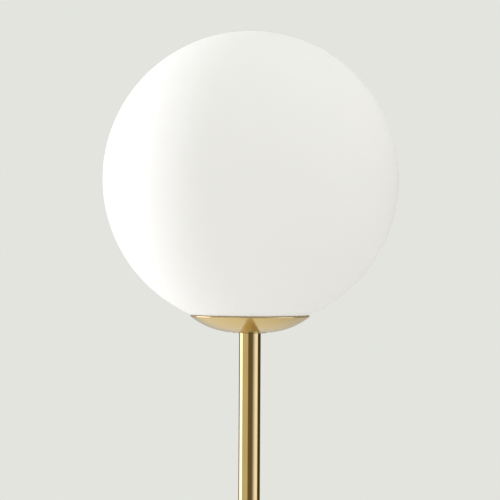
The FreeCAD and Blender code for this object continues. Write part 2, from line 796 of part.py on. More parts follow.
def make_gallery():
    """Pressed gallery on the dish's flat, with three riveted spring clips, and what holds it down."""
    bore = d.nipple_dia / 2 + d.fit
    thk = d.gallery_thk
    hub = d.gallery_hub_dia / 2
    step = d.gallery_step_dia / 2
    plate = turned("gallery_pressed", [
        (bore, gallery_low),
        (hub, gallery_low),
        (step, flange_low),
        (flange_edge, flange_low),
        (flange_edge, flange_top),
        (step - thk * 0.4, flange_top),
        (hub - thk * 0.4, gallery_low + thk),
        (bore, gallery_low + thk),
    ])
    pin = d.rivet_dia / 2
    holes, rivets, clips = [], [], []
    half = d.clip_thk / 2
    foot = float(flange_top + half)
    inner = float(clip_radius - d.clip_tab)
    leg = float(clip_radius + half)
    knee = float(ring_bore + d.clip_bite - half)
    bulge = knee - leg
    path = [
        point(inner, 0, foot),
        point(leg, 0, foot),
        point(leg, 0, hook_level - d.clip_setback * 0.55),
        point(knee, 0, hook_level - d.clip_setback * 0.55 + bulge * 1.15),
        point(leg - 0.6, 0, hook_level + d.clip_setback + bulge * 2.1),
    ]
    for k, angle in enumerate(CLIP_ANGLES):
        turn = FreeCAD.Rotation(V(0, 0, 1), angle)
        x, y = polar(rivet_radius, angle)
        holes.append(rod("gallery_hole_%d" % k, pin + d.fit, 8, x, y, flange_low - 3))
        strip = strip_along(
            "clip_strip_%d" % k, path, (1.2, 3.0, 1.2), float(d.clip_thk), float(d.clip_width))
        strip.Placement = FreeCAD.Placement(V(0, 0, 0), turn)
        hole = rod("clip_hole_%d" % k, pin + d.fit, 8, x, y, flange_low - 3)
        clips.append(cut("clip_%d" % k, strip, hole))
        under = rod("rivet_under_%d" % k, pin * 1.5, 0.7, x, y, flange_low - 0.7)
        shank = rod("rivet_shank_%d" % k, pin, thk + d.clip_thk + 1, x, y, flange_low - 0.5)
        over = rod("rivet_over_%d" % k, pin * 1.6, 0.9, x, y, flange_top + d.clip_thk)
        rivets.append(join("rivet_%d" % k, under, shank, over))
    subpart(cut("gallery_punched", plate, *holes), "gallery_plate", dish_level)
    subpart(together("clip_set", clips), "spring_clips", dish_level)
    subpart(together("rivet_set", rivets), "clip_rivets", dish_level)
    nipple_low = -d.collar_thk - d.nipple_grip
    nipple = ring("nipple_dish", d.nipple_dia / 2, d.nipple_bore / 2, nipple_low, nipple_top)
    subpart(nipple, "dish_nipple", dish_level)
    lock = ring("washer_gallery", d.nipple_dia * 0.9, bore, lock_low, nut_low)
    subpart(lock, "gallery_lock_washer", dish_level)
    nut = hex_nut("nut_gallery", d.nipple_dia * 1.5, d.head_nut_height, bore, nut_low)
    subpart(nut, "gallery_nut", dish_level)


# ---------------------------------------------------------------- lampholder


def make_lampholder_shell():
    """The two halves of the lampholder and the set screw in its threaded collar."""
    wall = d.holder_wall
    collar = d.holder_collar_dia / 2
    bore = d.nipple_dia / 2 + d.fit
    shoulder = collar + 1
    step = d.holder_collar_height
    straight = 4
    rise = d.dome_height - step - straight
    spread = holder_radius - shoulder
    curve = (rise * rise + spread * spread) / (spread * 2)
    inner = holder_radius - wall
    roof = step + wall
    inner_reach = (inner - curve + wall) + across(curve - wall, rise - wall)
    body = turned("holder_lower", [
        (bore, 0),
        (collar, 0),
        (collar, step),
        (shoulder, step, curve),
        (holder_radius, step + rise),
        (holder_radius, d.dome_height),
        (inner, d.dome_height),
        (inner, step + rise, -(curve - wall)),
        (inner_reach, roof),
        (bore, roof),
    ])
    screw_at = step / 2
    pin = d.block_screw_dia / 2
    tapped = rod("dome_tapped", pin + d.fit, collar, 0, 0, screw_at, ALONG_X)
    subpart(cut("dome_tapped_body", body, tapped), "holder_lower_half", dish_level + holder_low)
    grub = rod("grub", pin, collar - bore - 0.3, bore, 0, screw_at, ALONG_X)
    cup = rod("grub_socket", pin * 0.5, 1.2, collar - 1.4, 0, screw_at, ALONG_X)
    subpart(cut("grub_cut", grub, cup), "holder_set_screw", dish_level + holder_low)
    lip = d.bulb_neck_dia / 2 + 0.8
    top = d.skirt_height
    skirt = turned("holder_upper", [
        (inner, 0),
        (holder_radius, 0),
        (holder_radius, top - 2.5, 2.5),
        (holder_radius - 2.5, top),
        (lip, top),
        (lip, top - wall),
        (inner, top - wall - 2),
    ])
    subpart(skirt, "holder_upper_half", dish_level + dome_top)


def make_lampholder_contacts():
    """Ceramic insert, brass posts with wire screws, centre contact, screw shell and its rivets."""
    pin = d.clamp_screw_dia / 2
    rim = holder_radius - d.holder_wall - d.seat_gap
    disc = ring("insert_disc", rim, 0, dome_top, insert_top)
    places = (-centre_post, shell_post)
    rivet_places = [polar(shell_post, angle) for angle in SHELL_RIVET_ANGLES]
    holes, posts, wire_screws, contact_screws, rivets = [], [], [], [], []
    half = d.post_size / 2 - 0.5
    strip_top = insert_top + d.contact_thk
    for k, x in enumerate(places):
        holes.append(rod("insert_hole_%d" % k, pin + 0.15, d.insert_thk + 2, x, 0, dome_top - 1))
        cube = block("post_block_%d" % k, (x - half, x + half), (-half, half), (post_low, dome_top))
        socket = rod("post_socket_%d" % k, d.lead_dia / 2 + d.fit, 5, x, 0, post_low - 1)
        thread = rod("post_thread_%d" % k, pin + d.fit, 3, x, 0, dome_top - 2)
        side = rod("post_side_%d" % k, pin * 0.8 + d.fit, half + 2, x, 0, post_low + 2, ALONG_Y)
        posts.append(cut("post_%d" % k, cube, socket, thread, side))
        face = d.lead_dia / 2 + 0.1
        length = half - face + 0.9
        grub = rod("post_screw_%d" % k, pin * 0.8, length, x, face, post_low + 2, ALONG_Y)
        wire_screws.append(grub)
        shank = rod("contact_shank_%d" % k, pin, d.insert_thk + d.contact_thk + 2, x, 0, dome_top - 1.5)
        head = rod("contact_head_%d" % k, pin * 1.7, 1.5, x, 0, strip_top)
        contact_screws.append(join("contact_screw_%d" % k, shank, head))
    shell_outer = d.shell_bore / 2 + d.shell_wall
    flange = d.contact_thk
    inner_flange = shell_post - pin * 1.7
    shell = turned("shell_drawn", [
        (inner_flange, insert_top),
        (shell_outer, insert_top),
        (shell_outer, insert_top + d.shell_height),
        (d.shell_bore / 2, insert_top + d.shell_height),
        (d.shell_bore / 2, insert_top + flange),
        (inner_flange, insert_top + flange),
    ])
    shell_holes = [rod("shell_hole", pin + 0.15, 4, shell_post, 0, insert_top - 2)]
    for k, (x, y) in enumerate(rivet_places):
        shell_holes.append(rod("shell_hole_%d" % k, 1 + d.fit, 4, x, y, insert_top - 2))
        holes.append(rod("insert_rivet_hole_%d" % k, 1 + d.fit, 5, x, y, insert_top - 4))
        shank = rod("shell_rivet_shank_%d" % k, 1, 4 + flange, x, y, insert_top - 3.8)
        head = rod("shell_rivet_head_%d" % k, 1.8, 0.8, x, y, insert_top + flange)
        rivets.append(join("shell_rivet_%d" % k, shank, head))
    subpart(cut("insert_pressed", disc, *holes), "holder_insert", dish_level)
    subpart(together("post_set", posts), "holder_posts", dish_level)
    subpart(together("post_screw_set", wire_screws), "holder_wire_screws", dish_level)
    subpart(together("contact_screw_set", contact_screws), "holder_contact_screws", dish_level)
    subpart(cut("shell_punched", shell, *shell_holes), "holder_screw_shell", dish_level)
    subpart(together("shell_rivet_set", rivets), "screw_shell_rivets", dish_level)
    low = float(insert_top + d.contact_thk / 2)
    high = float(bulb_tip - d.seat_gap - d.contact_thk / 2)
    foot = float(centre_post)
    path = [
        point(-foot - 2.4, 0, low),
        point(-foot + 3.1, 0, low),
        point(0.6, 0, high),
        point(3.6, 0, high),
    ]
    strip = strip_along("contact_strip", path, (1.0, 1.0), float(d.contact_thk), 5.0)
    hole = rod("contact_hole", pin + 0.15, 4, -centre_post, 0, insert_top - 2)
    subpart(cut("contact_punched", strip, hole), "holder_centre_contact", dish_level)


# ---------------------------------------------------------------- globe


def make_globe():
    """The blown globe with its plain opening, and the silicone ring on the edge of the glass."""
    inside = globe_radius - d.glass_wall
    top = globe_rise + globe_radius
    glass = turned("globe_blown", [
        (opening_radius, under_globe(globe_radius, opening_radius), globe_radius),
        (0, top),
        (0, top - d.glass_wall, -inside),
        (opening_radius, under_globe(inside, opening_radius)),
    ])
    subpart(glass, "globe_glass", dish_level)
    outer_seat = opening_radius + d.seat_reach
    outer_lip = opening_radius + d.edge_reach
    under_glass = globe_radius + d.fit
    over_glass = inside - d.fit
    edge = opening_radius - d.fit
    seat_curve = side_radius - d.dish_wall - d.seat_gap

    def seat(radius):
        return side_up - across(seat_curve, radius - side_out)

    ring_profile = turned("ring_moulded", [
        (ring_bore, seat(ring_bore), seat_curve),
        (outer_seat, seat(outer_seat)),
        (outer_seat, under_globe(under_glass, outer_seat), -under_glass),
        (edge, under_globe(under_glass, edge)),
        (edge, under_globe(over_glass, edge), over_glass),
        (outer_lip, under_globe(over_glass, outer_lip)),
        (outer_lip, under_globe(ring_inner_radius, outer_lip), -ring_inner_radius),
        (ring_bore, hook_level),
    ])
    subpart(ring_profile, "globe_seat_ring", dish_level)


# ---------------------------------------------------------------- bulb


def make_bulb():
    """A pear-shaped bulb: frosted envelope, housing, light board, cap, insulator and contact."""
    wall = d.envelope_wall
    equator = d.bulb_dia / 2
    shoulder = d.bulb_shoulder_dia / 2
    middle = bulb_top - equator
    rise = middle - housing_top
    spread = equator - shoulder
    curve = (rise * rise + spread * spread) / (spread * 2)
    inner_low = equator - curve + across(curve - wall, rise)
    envelope = turned("envelope_moulded", [
        (inner_low, housing_top),
        (shoulder, housing_top, curve),
        (equator, middle, equator),
        (0, bulb_top),
        (0, bulb_top - wall, -(equator - wall)),
        (equator - wall, middle, -(curve - wall)),
    ])
    subpart(envelope, "bulb_envelope", dish_level)
    neck = d.bulb_neck_dia / 2
    cap = d.cap_dia / 2
    cap_wall = 0.3
    thick = 1.8
    stub = cap - cap_wall - d.fit
    housing = turned("housing_moulded", [
        (stub - thick, cap_top - 12),
        (stub, cap_top - 12),
        (stub, cap_top + d.fit),
        (neck, cap_top + d.fit),
        (neck + 0.4, cap_top + 4, -d.housing_flare),
        (shoulder, housing_top - d.fit),
        (shoulder - thick, housing_top - d.fit),
        (neck - thick, cap_top + 5),
        (stub - thick, cap_top),
    ])
    subpart(housing, "bulb_housing", dish_level)
    board_top = housing_top + 1.6
    board = ring("board_disc", inner_low - 1.2, 0, housing_top - d.fit, board_top)
    subpart(board, "bulb_light_board", dish_level)
    shell_low = bulb_tip + 5
    metal = turned("cap_drawn", [
        (cap - cap_wall, shell_low + 2),
        (cap - 2.2, shell_low + 0.3),
        (cap - 2.2, shell_low),
        (cap, shell_low + 2),
        (cap, cap_top),
        (cap - cap_wall, cap_top),
    ])
    subpart(metal, "bulb_cap", dish_level)
    glass = turned("insulator_pressed", [
        (3, bulb_tip + 1.2),
        (4.8, bulb_tip + 1.2),
        (cap - 2.3, shell_low),
        (cap - 2.3, shell_low + 0.2),
        (3, shell_low + 0.2),
    ])
    subpart(glass, "bulb_insulator", dish_level)
    tip = turned("tip_pressed", [
        (0, bulb_tip),
        (3.8, bulb_tip),
        (4.6, bulb_tip + 0.5),
        (4.6, bulb_tip + 1.2),
        (2.9, bulb_tip + 1.2),
        (2.9, bulb_tip + 3),
        (0, bulb_tip + 3),
    ])
    subpart(tip, "bulb_tip_contact", dish_level)


# ---------------------------------------------------------------- build

make_base_cover()
make_base_weight()
make_base_bottom()
make_base_hardware()
make_cord_bush()
make_terminal_block()
make_earth()
make_pole()
make_pole_leads()
make_dish()
make_gallery()
make_lampholder_shell()
make_lampholder_contacts()
make_globe()
make_bulb()
doc.recompute()

for thing in doc.Objects:
    if "Invalid" in thing.State or "Error" in thing.State:
        raise RuntimeError("%s didn't compute: %s" % (thing.Name, thing.State))

os.makedirs("parts", exist_ok=True)
for piece in subparts:
    shape = piece.Shape
    if shape.isNull() or not shape.isValid() or not shape.Solids or shape.Volume <= 0:
        raise RuntimeError("%s has no sound solid" % piece.Label)
    shape.exportStep("parts/%s.step" % piece.Label)
    box = shape.BoundBox
    print("%-24s %2d solid(s) %12.1f mm3  z %8.2f to %8.2f" % (
        piece.Label, len(shape.Solids), shape.Volume, box.ZMin, box.ZMax))
print("%d sub-parts" % len(subparts))
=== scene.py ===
import math

import bmesh
import bpy
from mathutils import Matrix, Vector


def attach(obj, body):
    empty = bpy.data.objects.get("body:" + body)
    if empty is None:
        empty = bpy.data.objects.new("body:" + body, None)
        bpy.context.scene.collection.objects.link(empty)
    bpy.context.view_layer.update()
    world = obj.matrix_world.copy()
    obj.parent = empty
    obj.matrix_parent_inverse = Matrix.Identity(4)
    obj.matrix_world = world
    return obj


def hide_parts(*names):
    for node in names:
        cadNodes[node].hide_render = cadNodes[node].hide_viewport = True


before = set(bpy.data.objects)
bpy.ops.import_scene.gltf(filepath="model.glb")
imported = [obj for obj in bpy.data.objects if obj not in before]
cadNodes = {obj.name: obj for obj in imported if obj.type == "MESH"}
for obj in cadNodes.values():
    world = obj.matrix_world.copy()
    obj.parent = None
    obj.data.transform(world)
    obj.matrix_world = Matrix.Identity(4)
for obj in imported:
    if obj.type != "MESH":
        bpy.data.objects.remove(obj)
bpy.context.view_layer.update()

mm = 0.001
tau = 2 * math.pi

levels = {  # mm above the floor, on the pole's axis
    "foot": 25.8,
    "section": 406.0,
    "poleTop": 1243.8,
    "dish": 1244.6,
}


# mesh making: outlines are lists of (r, z) in mm, with an optional fillet as a third value

def rounded(outline, steps=5):
    # the same outline with an arc at each corner that has a fillet
    points = []
    count = len(outline)
    for i, corner in enumerate(outline):
        here = Vector(corner[:2])
        if len(corner) < 3:
            points.append(tuple(here))
            continue
        back = Vector(outline[i - 1][:2]) - here
        ahead = Vector(outline[(i + 1) % count][:2]) - here
        half = back.angle(ahead) / 2
        room = min(back.length, ahead.length) * 0.49      # so neighbouring arcs never meet
        reach = min(corner[2] / math.tan(half), room)
        radius = reach * math.tan(half)
        middle = here + (back.normalized() + ahead.normalized()).normalized() * (radius / math.sin(half))
        start = here + back.normalized() * reach - middle
        stop = here + ahead.normalized() * reach - middle
        first = math.atan2(start.y, start.x)
        sweep = (math.atan2(stop.y, stop.x) - first + math.pi) % tau - math.pi  # the short way round
        for k in range(steps + 1):
            angle = first + sweep * k / steps
            points.append(tuple(middle + Vector((math.cos(angle), math.sin(angle))) * radius))
    return points


def arcPoints(middle, radius, start, stop, steps):
    # from one point to another on a circle about middle, the short way
    first = math.atan2(start[1] - middle[1], start[0] - middle[0])
    last = math.atan2(stop[1] - middle[1], stop[0] - middle[0])
    sweep = (last - first + math.pi) % tau - math.pi
    angles = [first + sweep * k / steps for k in range(steps + 1)]
    return [(middle[0] + radius * math.cos(a), middle[1] + radius * math.sin(a)) for a in angles]


def climb(r, low, high, steps):
    # points straight up from low, which isn't one of them, to high
    return [(r, low + (high - low) * k / steps) for k in range(1, steps + 1)]


def spin(bm, outline, level=0.0, steps=128, shape=None, place=None):
    # turns a closed outline about the axis; shape(r, z, angle) may move a point outward
    place = place or Matrix.Identity(4)
    rings = []
    for r, z in outline:
        if r < 1e-6:
            rings.append([bm.verts.new(place @ (Vector((0, 0, level + z)) * mm))])
            continue
        ring = []
        for k in range(steps):
            angle = tau * k / steps
            out = shape(r, z, angle) if shape else r
            point = Vector((out * math.cos(angle), out * math.sin(angle), level + z))
            ring.append(bm.verts.new(place @ (point * mm)))
        rings.append(ring)
    for a, b in zip(rings, rings[1:] + rings[:1]):
        if len(a) == 1 and len(b) == 1:
            continue
        for k in range(steps):
            n = (k + 1) % steps
            if len(a) == 1:
                bm.faces.new((a[0], b[k], b[n]))
            elif len(b) == 1:
                bm.faces.new((a[k], b[0], a[n]))
            else:
                bm.faces.new((a[k], b[k], b[n], a[n]))


def evenNormals(piece):
    # large faces keep their own normals, so small rounded edges don't bend the reflections in them
    weights = piece.modifiers.new("evenNormals", "WEIGHTED_NORMAL")
    weights.keep_sharp = True
    weights.weight = 100


def linked(name, bm):
    mesh = bpy.data.meshes.new(name)
    bm.to_mesh(mesh)
    bm.free()
    piece = bpy.data.objects.new(name, mesh)
    bpy.context.scene.collection.objects.link(piece)
    return piece


def finishMesh(name, bm, finish, body, node, sharp=34):
    # a piece in the place of its CAD node; edges that bend by more than sharp degrees stay crisp
    bmesh.ops.recalc_face_normals(bm, faces=bm.faces)
    for edge in bm.edges:
        edge.smooth = not (edge.is_manifold and edge.calc_face_angle(0) > math.radians(sharp))
    for face in bm.faces:
        face.smooth = True
    piece = linked(name, bm)
    piece.data.materials.append(finishes[finish])
    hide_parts(node)
    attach(piece, body)
    evenNormals(piece)
    return piece


def turned(name, outline, level, finish, body, node, steps=128, shape=None, sharp=34):
    bm = bmesh.new()
    spin(bm, outline, level, steps, shape)
    return finishMesh(name, bm, finish, body, node, sharp)


def cutAway(piece, tool):
    # takes a closed mesh out of a piece
    bmesh.ops.recalc_face_normals(tool, faces=tool.faces)
    cutter = linked("cutter", tool)
    piece.modifiers.clear()
    cut = piece.modifiers.new("cut", "BOOLEAN")
    cut.operation = "DIFFERENCE"
    cut.solver = "EXACT"
    cut.object = cutter
    bpy.context.view_layer.update()
    shaped = bpy.data.meshes.new_from_object(piece.evaluated_get(bpy.context.evaluated_depsgraph_get()))
    piece.modifiers.clear()
    piece.data = shaped
    bpy.data.objects.remove(cutter)
    evenNormals(piece)


# shader nodes

class Wire:
    # one output socket, with Python's arithmetic on values
    def __init__(self, tree, socket):
        self.tree = tree
        self.socket = socket

    def math(self, operation, other=None, reflected=False):
        values = [other, self] if reflected else [self, other]
        return shadeNode(self.tree, "Math", {"operation": operation}, values)

    def __add__(self, other):
        return self.math("ADD", other)

    def __radd__(self, other):
        return self.math("ADD", other, True)

    def __sub__(self, other):
        return self.math("SUBTRACT", other)

    def __rsub__(self, other):
        return self.math("SUBTRACT", other, True)

    def __mul__(self, other):
        return self.math("MULTIPLY", other)

    def __rmul__(self, other):
        return self.math("MULTIPLY", other, True)

    def __truediv__(self, other):
        return self.math("DIVIDE", other)

    def __rtruediv__(self, other):
        return self.math("DIVIDE", other, True)

    def __pow__(self, other):
        return self.math("POWER", other)

    def __rpow__(self, other):
        return self.math("POWER", other, True)


def shadeNode(tree, kind, settings=None, inputs=None, output=0):
    # settings come first, then the values or links of the sockets by place or by name
    node = tree.nodes.new("ShaderNode" + kind)
    for key, value in (settings or {}).items():
        setattr(node, key, value)
    pairs = enumerate(inputs) if isinstance(inputs, (list, tuple)) else (inputs or {}).items()
    for key, value in pairs:
        if value is None:
            continue
        socket = node.inputs[key]
        if isinstance(value, Wire):
            tree.links.new(value.socket, socket)
        else:
            socket.default_value = value
    return Wire(tree, node.outputs[output]) if len(node.outputs) else None


def mixColours(tree, factor, first, second, blend="MIX"):
    # the Mix node's colour sockets are its seventh and eighth
    settings = {"data_type": "RGBA", "blend_type": blend}
    return shadeNode(tree, "Mix", settings, {0: factor, 6: first, 7: second}, 2)


def vectorMath(tree, operation, first, second=None, output="Vector"):
    return shadeNode(tree, "VectorMath", {"operation": operation}, [first, second], output)


def axes(tree, place):
    return [shadeNode(tree, "SeparateXYZ", {}, [place], axis) for axis in ("X", "Y", "Z")]


def lightRay(tree, kind):
    return shadeNode(tree, "LightPath", {}, {}, kind)


def mapped(tree, value, low, high, toLow=0.0, toHigh=1.0, smooth=True):
    settings = {"interpolation_type": "SMOOTHSTEP" if smooth else "LINEAR"}
    return shadeNode(tree, "MapRange", settings, {0: value, 1: low, 2: high, 3: toLow, 4: toHigh})


def noise(tree, place, scale, detail=3.0, roughness=0.5):
    inputs = {"Vector": place, "Scale": scale, "Detail": detail, "Roughness": roughness}
    return shadeNode(tree, "TexNoise", {}, inputs)


def bumped(tree, height, strength, distance):
    return shadeNode(tree, "Bump", {}, {"Strength": strength, "Distance": distance, "Height": height})


def newFinish(name):
    finish = bpy.data.materials.new(name)
    finish.use_nodes = True
    tree = finish.node_tree
    tree.nodes.clear()
    place = shadeNode(tree, "TexCoord", {}, {}, "Object")
    return finish, tree, place


def surface(finish, tree, **sockets):
    # the shader's sockets by name, with _ for each space
    values = {key.replace("_", " "): value for key, value in sockets.items()}
    shader = shadeNode(tree, "BsdfPrincipled", {}, values)
    shadeNode(tree, "OutputMaterial", {}, {"Surface": shader})
    return finish


# finishes: scales are in cells a metre, heights in metres

brass = {
    "colour": (0.63, 0.48, 0.23),
    "deep": (0.57, 0.42, 0.19),          # thin tarnish
    "tarnish": 0.35,                     # how much of it shows at the most
    "tarnishFrom": (0.42, 0.68),         # the noise at which it starts and is full
    "clouds": 26.0, "blotches": 7.0,     # the tarnish's patches, small and large
    "drawnLines": (3600, 22),            # across the tube and along it
    "spunLines": 2600,
    "grain": 0.035,                      # how much the roughness varies
    "lineHeight": 0.0000035,
}


def brassFinish(name, linesAlong, roughness, shade=1.0):
    # drawn tube has fine lines along it, spun sheet has them round its axis
    finish, tree, place = newFinish(name)
    x, y, z = axes(tree, place)
    if linesAlong:
        across, along = brass["drawnLines"]
        stretched = shadeNode(tree, "CombineXYZ", {}, [x * across, y * across, z * along])
    else:
        out = (x * x + y * y) ** 0.5
        fine = brass["spunLines"]
        stretched = shadeNode(tree, "CombineXYZ", {}, [out * fine, z * fine, 0.0])
    lines = noise(tree, stretched, 1.0, 2.0, 0.6)
    clouds = noise(tree, place, brass["clouds"], 4.0, 0.55)
    blotches = noise(tree, place, brass["blotches"], 3.0, 0.5)
    tarnish = mapped(tree, clouds * 0.6 + blotches * 0.4, *brass["tarnishFrom"])
    # shade below 1 darkens the whole colour: painted shade for a part that stands in shadow
    fresh, deep = (tuple(c * shade for c in brass[key]) + (1,) for key in ("colour", "deep"))
    colour = mixColours(tree, tarnish * brass["tarnish"], fresh, deep)
    rough = roughness + (lines - 0.5) * brass["grain"] + (clouds - 0.5) * brass["grain"]
    normal = bumped(tree, lines, 0.35, brass["lineHeight"])
    return surface(finish, tree, Base_Color=colour, Metallic=1.0, Roughness=rough, Normal=normal)


turnedBrass = {
    "dark": (0.70, 0.52, 0.26, 1), "light": (0.80, 0.63, 0.34, 1), "grain": 900.0, "roughness": 0.24,
}


def turnedBrassFinish():
    b = turnedBrass
    finish, tree, place = newFinish("turnedBrass")
    grain = noise(tree, place, b["grain"], 2.0)
    clouds = noise(tree, place, 60.0, 3.0)
    colour = mixColours(tree, clouds, b["dark"], b["light"])
    return surface(finish, tree, Base_Color=colour, Metallic=1.0, Roughness=b["roughness"] + grain * 0.14,
                   Normal=bumped(tree, grain, 0.2, 0.00001))


opal = {
    "dark": (0.915, 0.912, 0.898, 1), "light": (0.930, 0.928, 0.918, 1),
    "waves": 9.0, "waveHeight": 0.0004,      # the slow unevenness of blown glass
    "roughness": 0.48, "gloss": 0.15,
    "scatter": 0.25, "scatterReach": 0.006,
}


def opalFinish():
    o = opal
    finish, tree, place = newFinish("opalGlass")
    waves = noise(tree, place, o["waves"], 2.0, 0.4)
    clouds = noise(tree, place, 30.0, 3.0)
    colour = mixColours(tree, clouds, o["dark"], o["light"])
    return surface(finish, tree, Base_Color=colour, Roughness=o["roughness"] + (clouds - 0.5) * 0.03,
                   Normal=bumped(tree, waves, 0.25, o["waveHeight"]),
                   IOR=1.5, Specular_IOR_Level=o["gloss"], Subsurface_Weight=o["scatter"],
                   Subsurface_Radius=(1.0, 0.95, 0.85), Subsurface_Scale=o["scatterReach"])


silicone = {
    "dark": (0.74, 0.74, 0.71, 1), "light": (0.82, 0.82, 0.79, 1), "dust": 400.0, "scatter": 0.3,
}


def siliconeFinish():
    s = silicone
    finish, tree, place = newFinish("whiteSilicone")
    dust = noise(tree, place, s["dust"], 3.0)
    colour = mixColours(tree, dust, s["dark"], s["light"])
    return surface(finish, tree, Base_Color=colour, Roughness=0.42 + dust * 0.12,
                   Normal=bumped(tree, dust, 0.2, 0.00002),
                   Subsurface_Weight=s["scatter"], Subsurface_Scale=0.002)


def steelFinish(name, light, dark, roughness, streaks=700.0):
    # plated and rolled metal: streaks under a faint spangle
    finish, tree, place = newFinish(name)
    spangle = shadeNode(tree, "TexVoronoi", {}, {"Vector": place, "Scale": 260.0}, "Color")
    grain = noise(tree, place, streaks, 3.0)
    colour = mixColours(tree, grain, dark, light)
    patches = mixColours(tree, 0.06, colour, spangle, "OVERLAY")
    return surface(finish, tree, Base_Color=patches, Metallic=1.0,
                   Roughness=roughness + (grain - 0.5) * 0.16, Normal=bumped(tree, grain, 0.15, 0.00001))


castIron = {
    "dark": (0.018, 0.018, 0.019, 1), "light": (0.045, 0.043, 0.041, 1), "sand": 520.0, "lumps": 45.0,
}


def castFinish():
    c = castIron
    finish, tree, place = newFinish("blackDippedIron")
    sand = noise(tree, place, c["sand"], 5.0, 0.65)
    lumps = noise(tree, place, c["lumps"], 3.0)
    colour = mixColours(tree, lumps, c["dark"], c["light"])
    return surface(finish, tree, Base_Color=colour, Metallic=0.15, Roughness=0.5 + sand * 0.3,
                   Normal=bumped(tree, sand + lumps, 0.5, 0.0002))


foam = {
    "dark": (0.012, 0.012, 0.012, 1), "light": (0.030, 0.030, 0.031, 1), "cells": 1500.0, "roughness": 0.9,
}


def foamFinish():
    f = foam
    finish, tree, place = newFinish("closedCellFoam")
    cells = shadeNode(tree, "TexVoronoi", {}, {"Vector": place, "Scale": f["cells"]})
    clouds = noise(tree, place, 50.0, 3.0)
    colour = mixColours(tree, clouds, f["dark"], f["light"])
    return surface(finish, tree, Base_Color=colour, Roughness=f["roughness"],
                   Normal=bumped(tree, cells, 0.6, 0.0002))


def plasticFinish(name, colour, roughness, texture=1100.0, depth=0.00002):
    # moulded plastic with the fine eroded texture of its mould
    finish, tree, place = newFinish(name)
    skin = noise(tree, place, texture, 3.0, 0.6)
    clouds = noise(tree, place, 40.0, 3.0)
    darker = tuple(c * 0.9 for c in colour) + (1,)
    tone = mixColours(tree, clouds, colour + (1,), darker)
    return surface(finish, tree, Base_Color=tone, Roughness=roughness + (skin - 0.5) * 0.12,
                   Normal=bumped(tree, skin, 0.3, depth))


ceramic = {
    "glaze": (0.80, 0.77, 0.71, 1), "specks": (0.42, 0.36, 0.28, 1), "speckScale": 1400.0, "coat": 0.4,
}


def ceramicFinish():
    c = ceramic
    finish, tree, place = newFinish("glazedCeramic")
    specks = noise(tree, place, c["speckScale"], 2.0)
    clouds = noise(tree, place, 90.0, 3.0)
    colour = mixColours(tree, mapped(tree, specks, 0.68, 0.74), c["glaze"], c["specks"])
    return surface(finish, tree, Base_Color=colour, Roughness=0.2 + clouds * 0.15,
                   Normal=bumped(tree, clouds, 0.2, 0.00005), Coat_Weight=c["coat"])


finishes = {
    "drawnBrass": brassFinish("drawnBrass", True, 0.10),
    "spunBrass": brassFinish("spunBrass", False, 0.11),
    "shadowedBrass": brassFinish("shadowedBrass", False, 0.17, 0.45),   # the washer under the dish: rougher, and darkened all over as painted shade for the shadow gap under the dish
    "turnedBrass": turnedBrassFinish(),
    "opal": opalFinish(),
    "silicone": siliconeFinish(),
    "zinc": steelFinish("zincPlatedSteel", (0.66, 0.66, 0.64, 1), (0.55, 0.55, 0.54, 1), 0.34),
    "spring": steelFinish("springSteel", (0.58, 0.57, 0.55, 1), (0.47, 0.46, 0.45, 1), 0.22, 1500.0),
    "aluminium": steelFinish("plainAluminium", (0.80, 0.80, 0.80, 1), (0.72, 0.72, 0.73, 1), 0.3, 1200.0),
    "iron": castFinish(),
    "foam": foamFinish(),
    "nylon": plasticFinish("blackNylon", (0.022, 0.022, 0.023), 0.42),
    "blackPlastic": plasticFinish("blackMouldedPlastic", (0.020, 0.020, 0.021), 0.38),
    "whitePlastic": plasticFinish("whiteMouldedPlastic", (0.80, 0.80, 0.78), 0.35),
    "frosted": plasticFinish("frostedEnvelope", (0.87, 0.87, 0.855), 0.5, 2500.0, 0.000008),
    "leadBrown": plasticFinish("brownLead", (0.10, 0.045, 0.02), 0.35),
    "leadBlue": plasticFinish("blueLead", (0.03, 0.10, 0.30), 0.35),
    "leadGreen": plasticFinish("greenLead", (0.12, 0.30, 0.04), 0.35),
    "ceramic": ceramicFinish(),
    "fusedGlass": plasticFinish("fusedGlass", (0.012, 0.012, 0.016), 0.12),
}
print("finishes:", len(finishes))


# dish, globe and silicone ring

dish = {
    "rim": 60.5, "flat": 23.0, "bend": 30.0, "bottomCurve": 145.0, "rise": 15.9,
    "lip": 1.2, "lipRound": 0.9, "lipFoot": 0.1, "wall": 1.2, "bore": 5.05, "sideSteps": 40,
}
dish["bottomMiddle"] = math.sqrt(dish["bottomCurve"] ** 2 - dish["flat"] ** 2)
dish["bendRise"] = dish["bottomMiddle"] - math.sqrt(dish["bottomCurve"] ** 2 - dish["bend"] ** 2)
dish["tilt"] = dish["bend"] / dish["bottomCurve"]
dish["tiltUp"] = math.sqrt(1 - dish["tilt"] ** 2)
sideRun = dish["rim"] - dish["bend"]
sideClimb = dish["rise"] - dish["bendRise"]
# the side's curve leaves the bend in line with the bottom's and ends at the rim
sideFall = dish["tiltUp"] * sideClimb - dish["tilt"] * sideRun
dish["sideCurve"] = (sideRun ** 2 + sideClimb ** 2) / (2 * sideFall)
dish["sideOut"] = dish["bend"] - dish["sideCurve"] * dish["tilt"]
dish["sideUp"] = dish["bendRise"] + dish["sideCurve"] * dish["tiltUp"]
dish["lipTop"] = dish["rise"] + dish["lip"]
dish["lipBore"] = dish["rim"] - dish["wall"]

globe = {
    "radius": 150.0, "wall": 3.0, "opening": 42.0, "edgeRound": 1.2, "edgeRun": 6, "lipGap": 0.4,
    "bandSteps": 96,
}
# its middle above the dish's flat, where it just clears the lip
globe["rise"] = dish["lipTop"] + math.sqrt(globe["radius"] ** 2 - (dish["lipBore"] - globe["lipGap"]) ** 2)


def onDish(curve, out):
    return out, dish["sideUp"] - math.sqrt(curve * curve - (out - dish["sideOut"]) ** 2)


def onGlobe(radius, out):
    return out, globe["rise"] - math.sqrt(radius * radius - out * out)


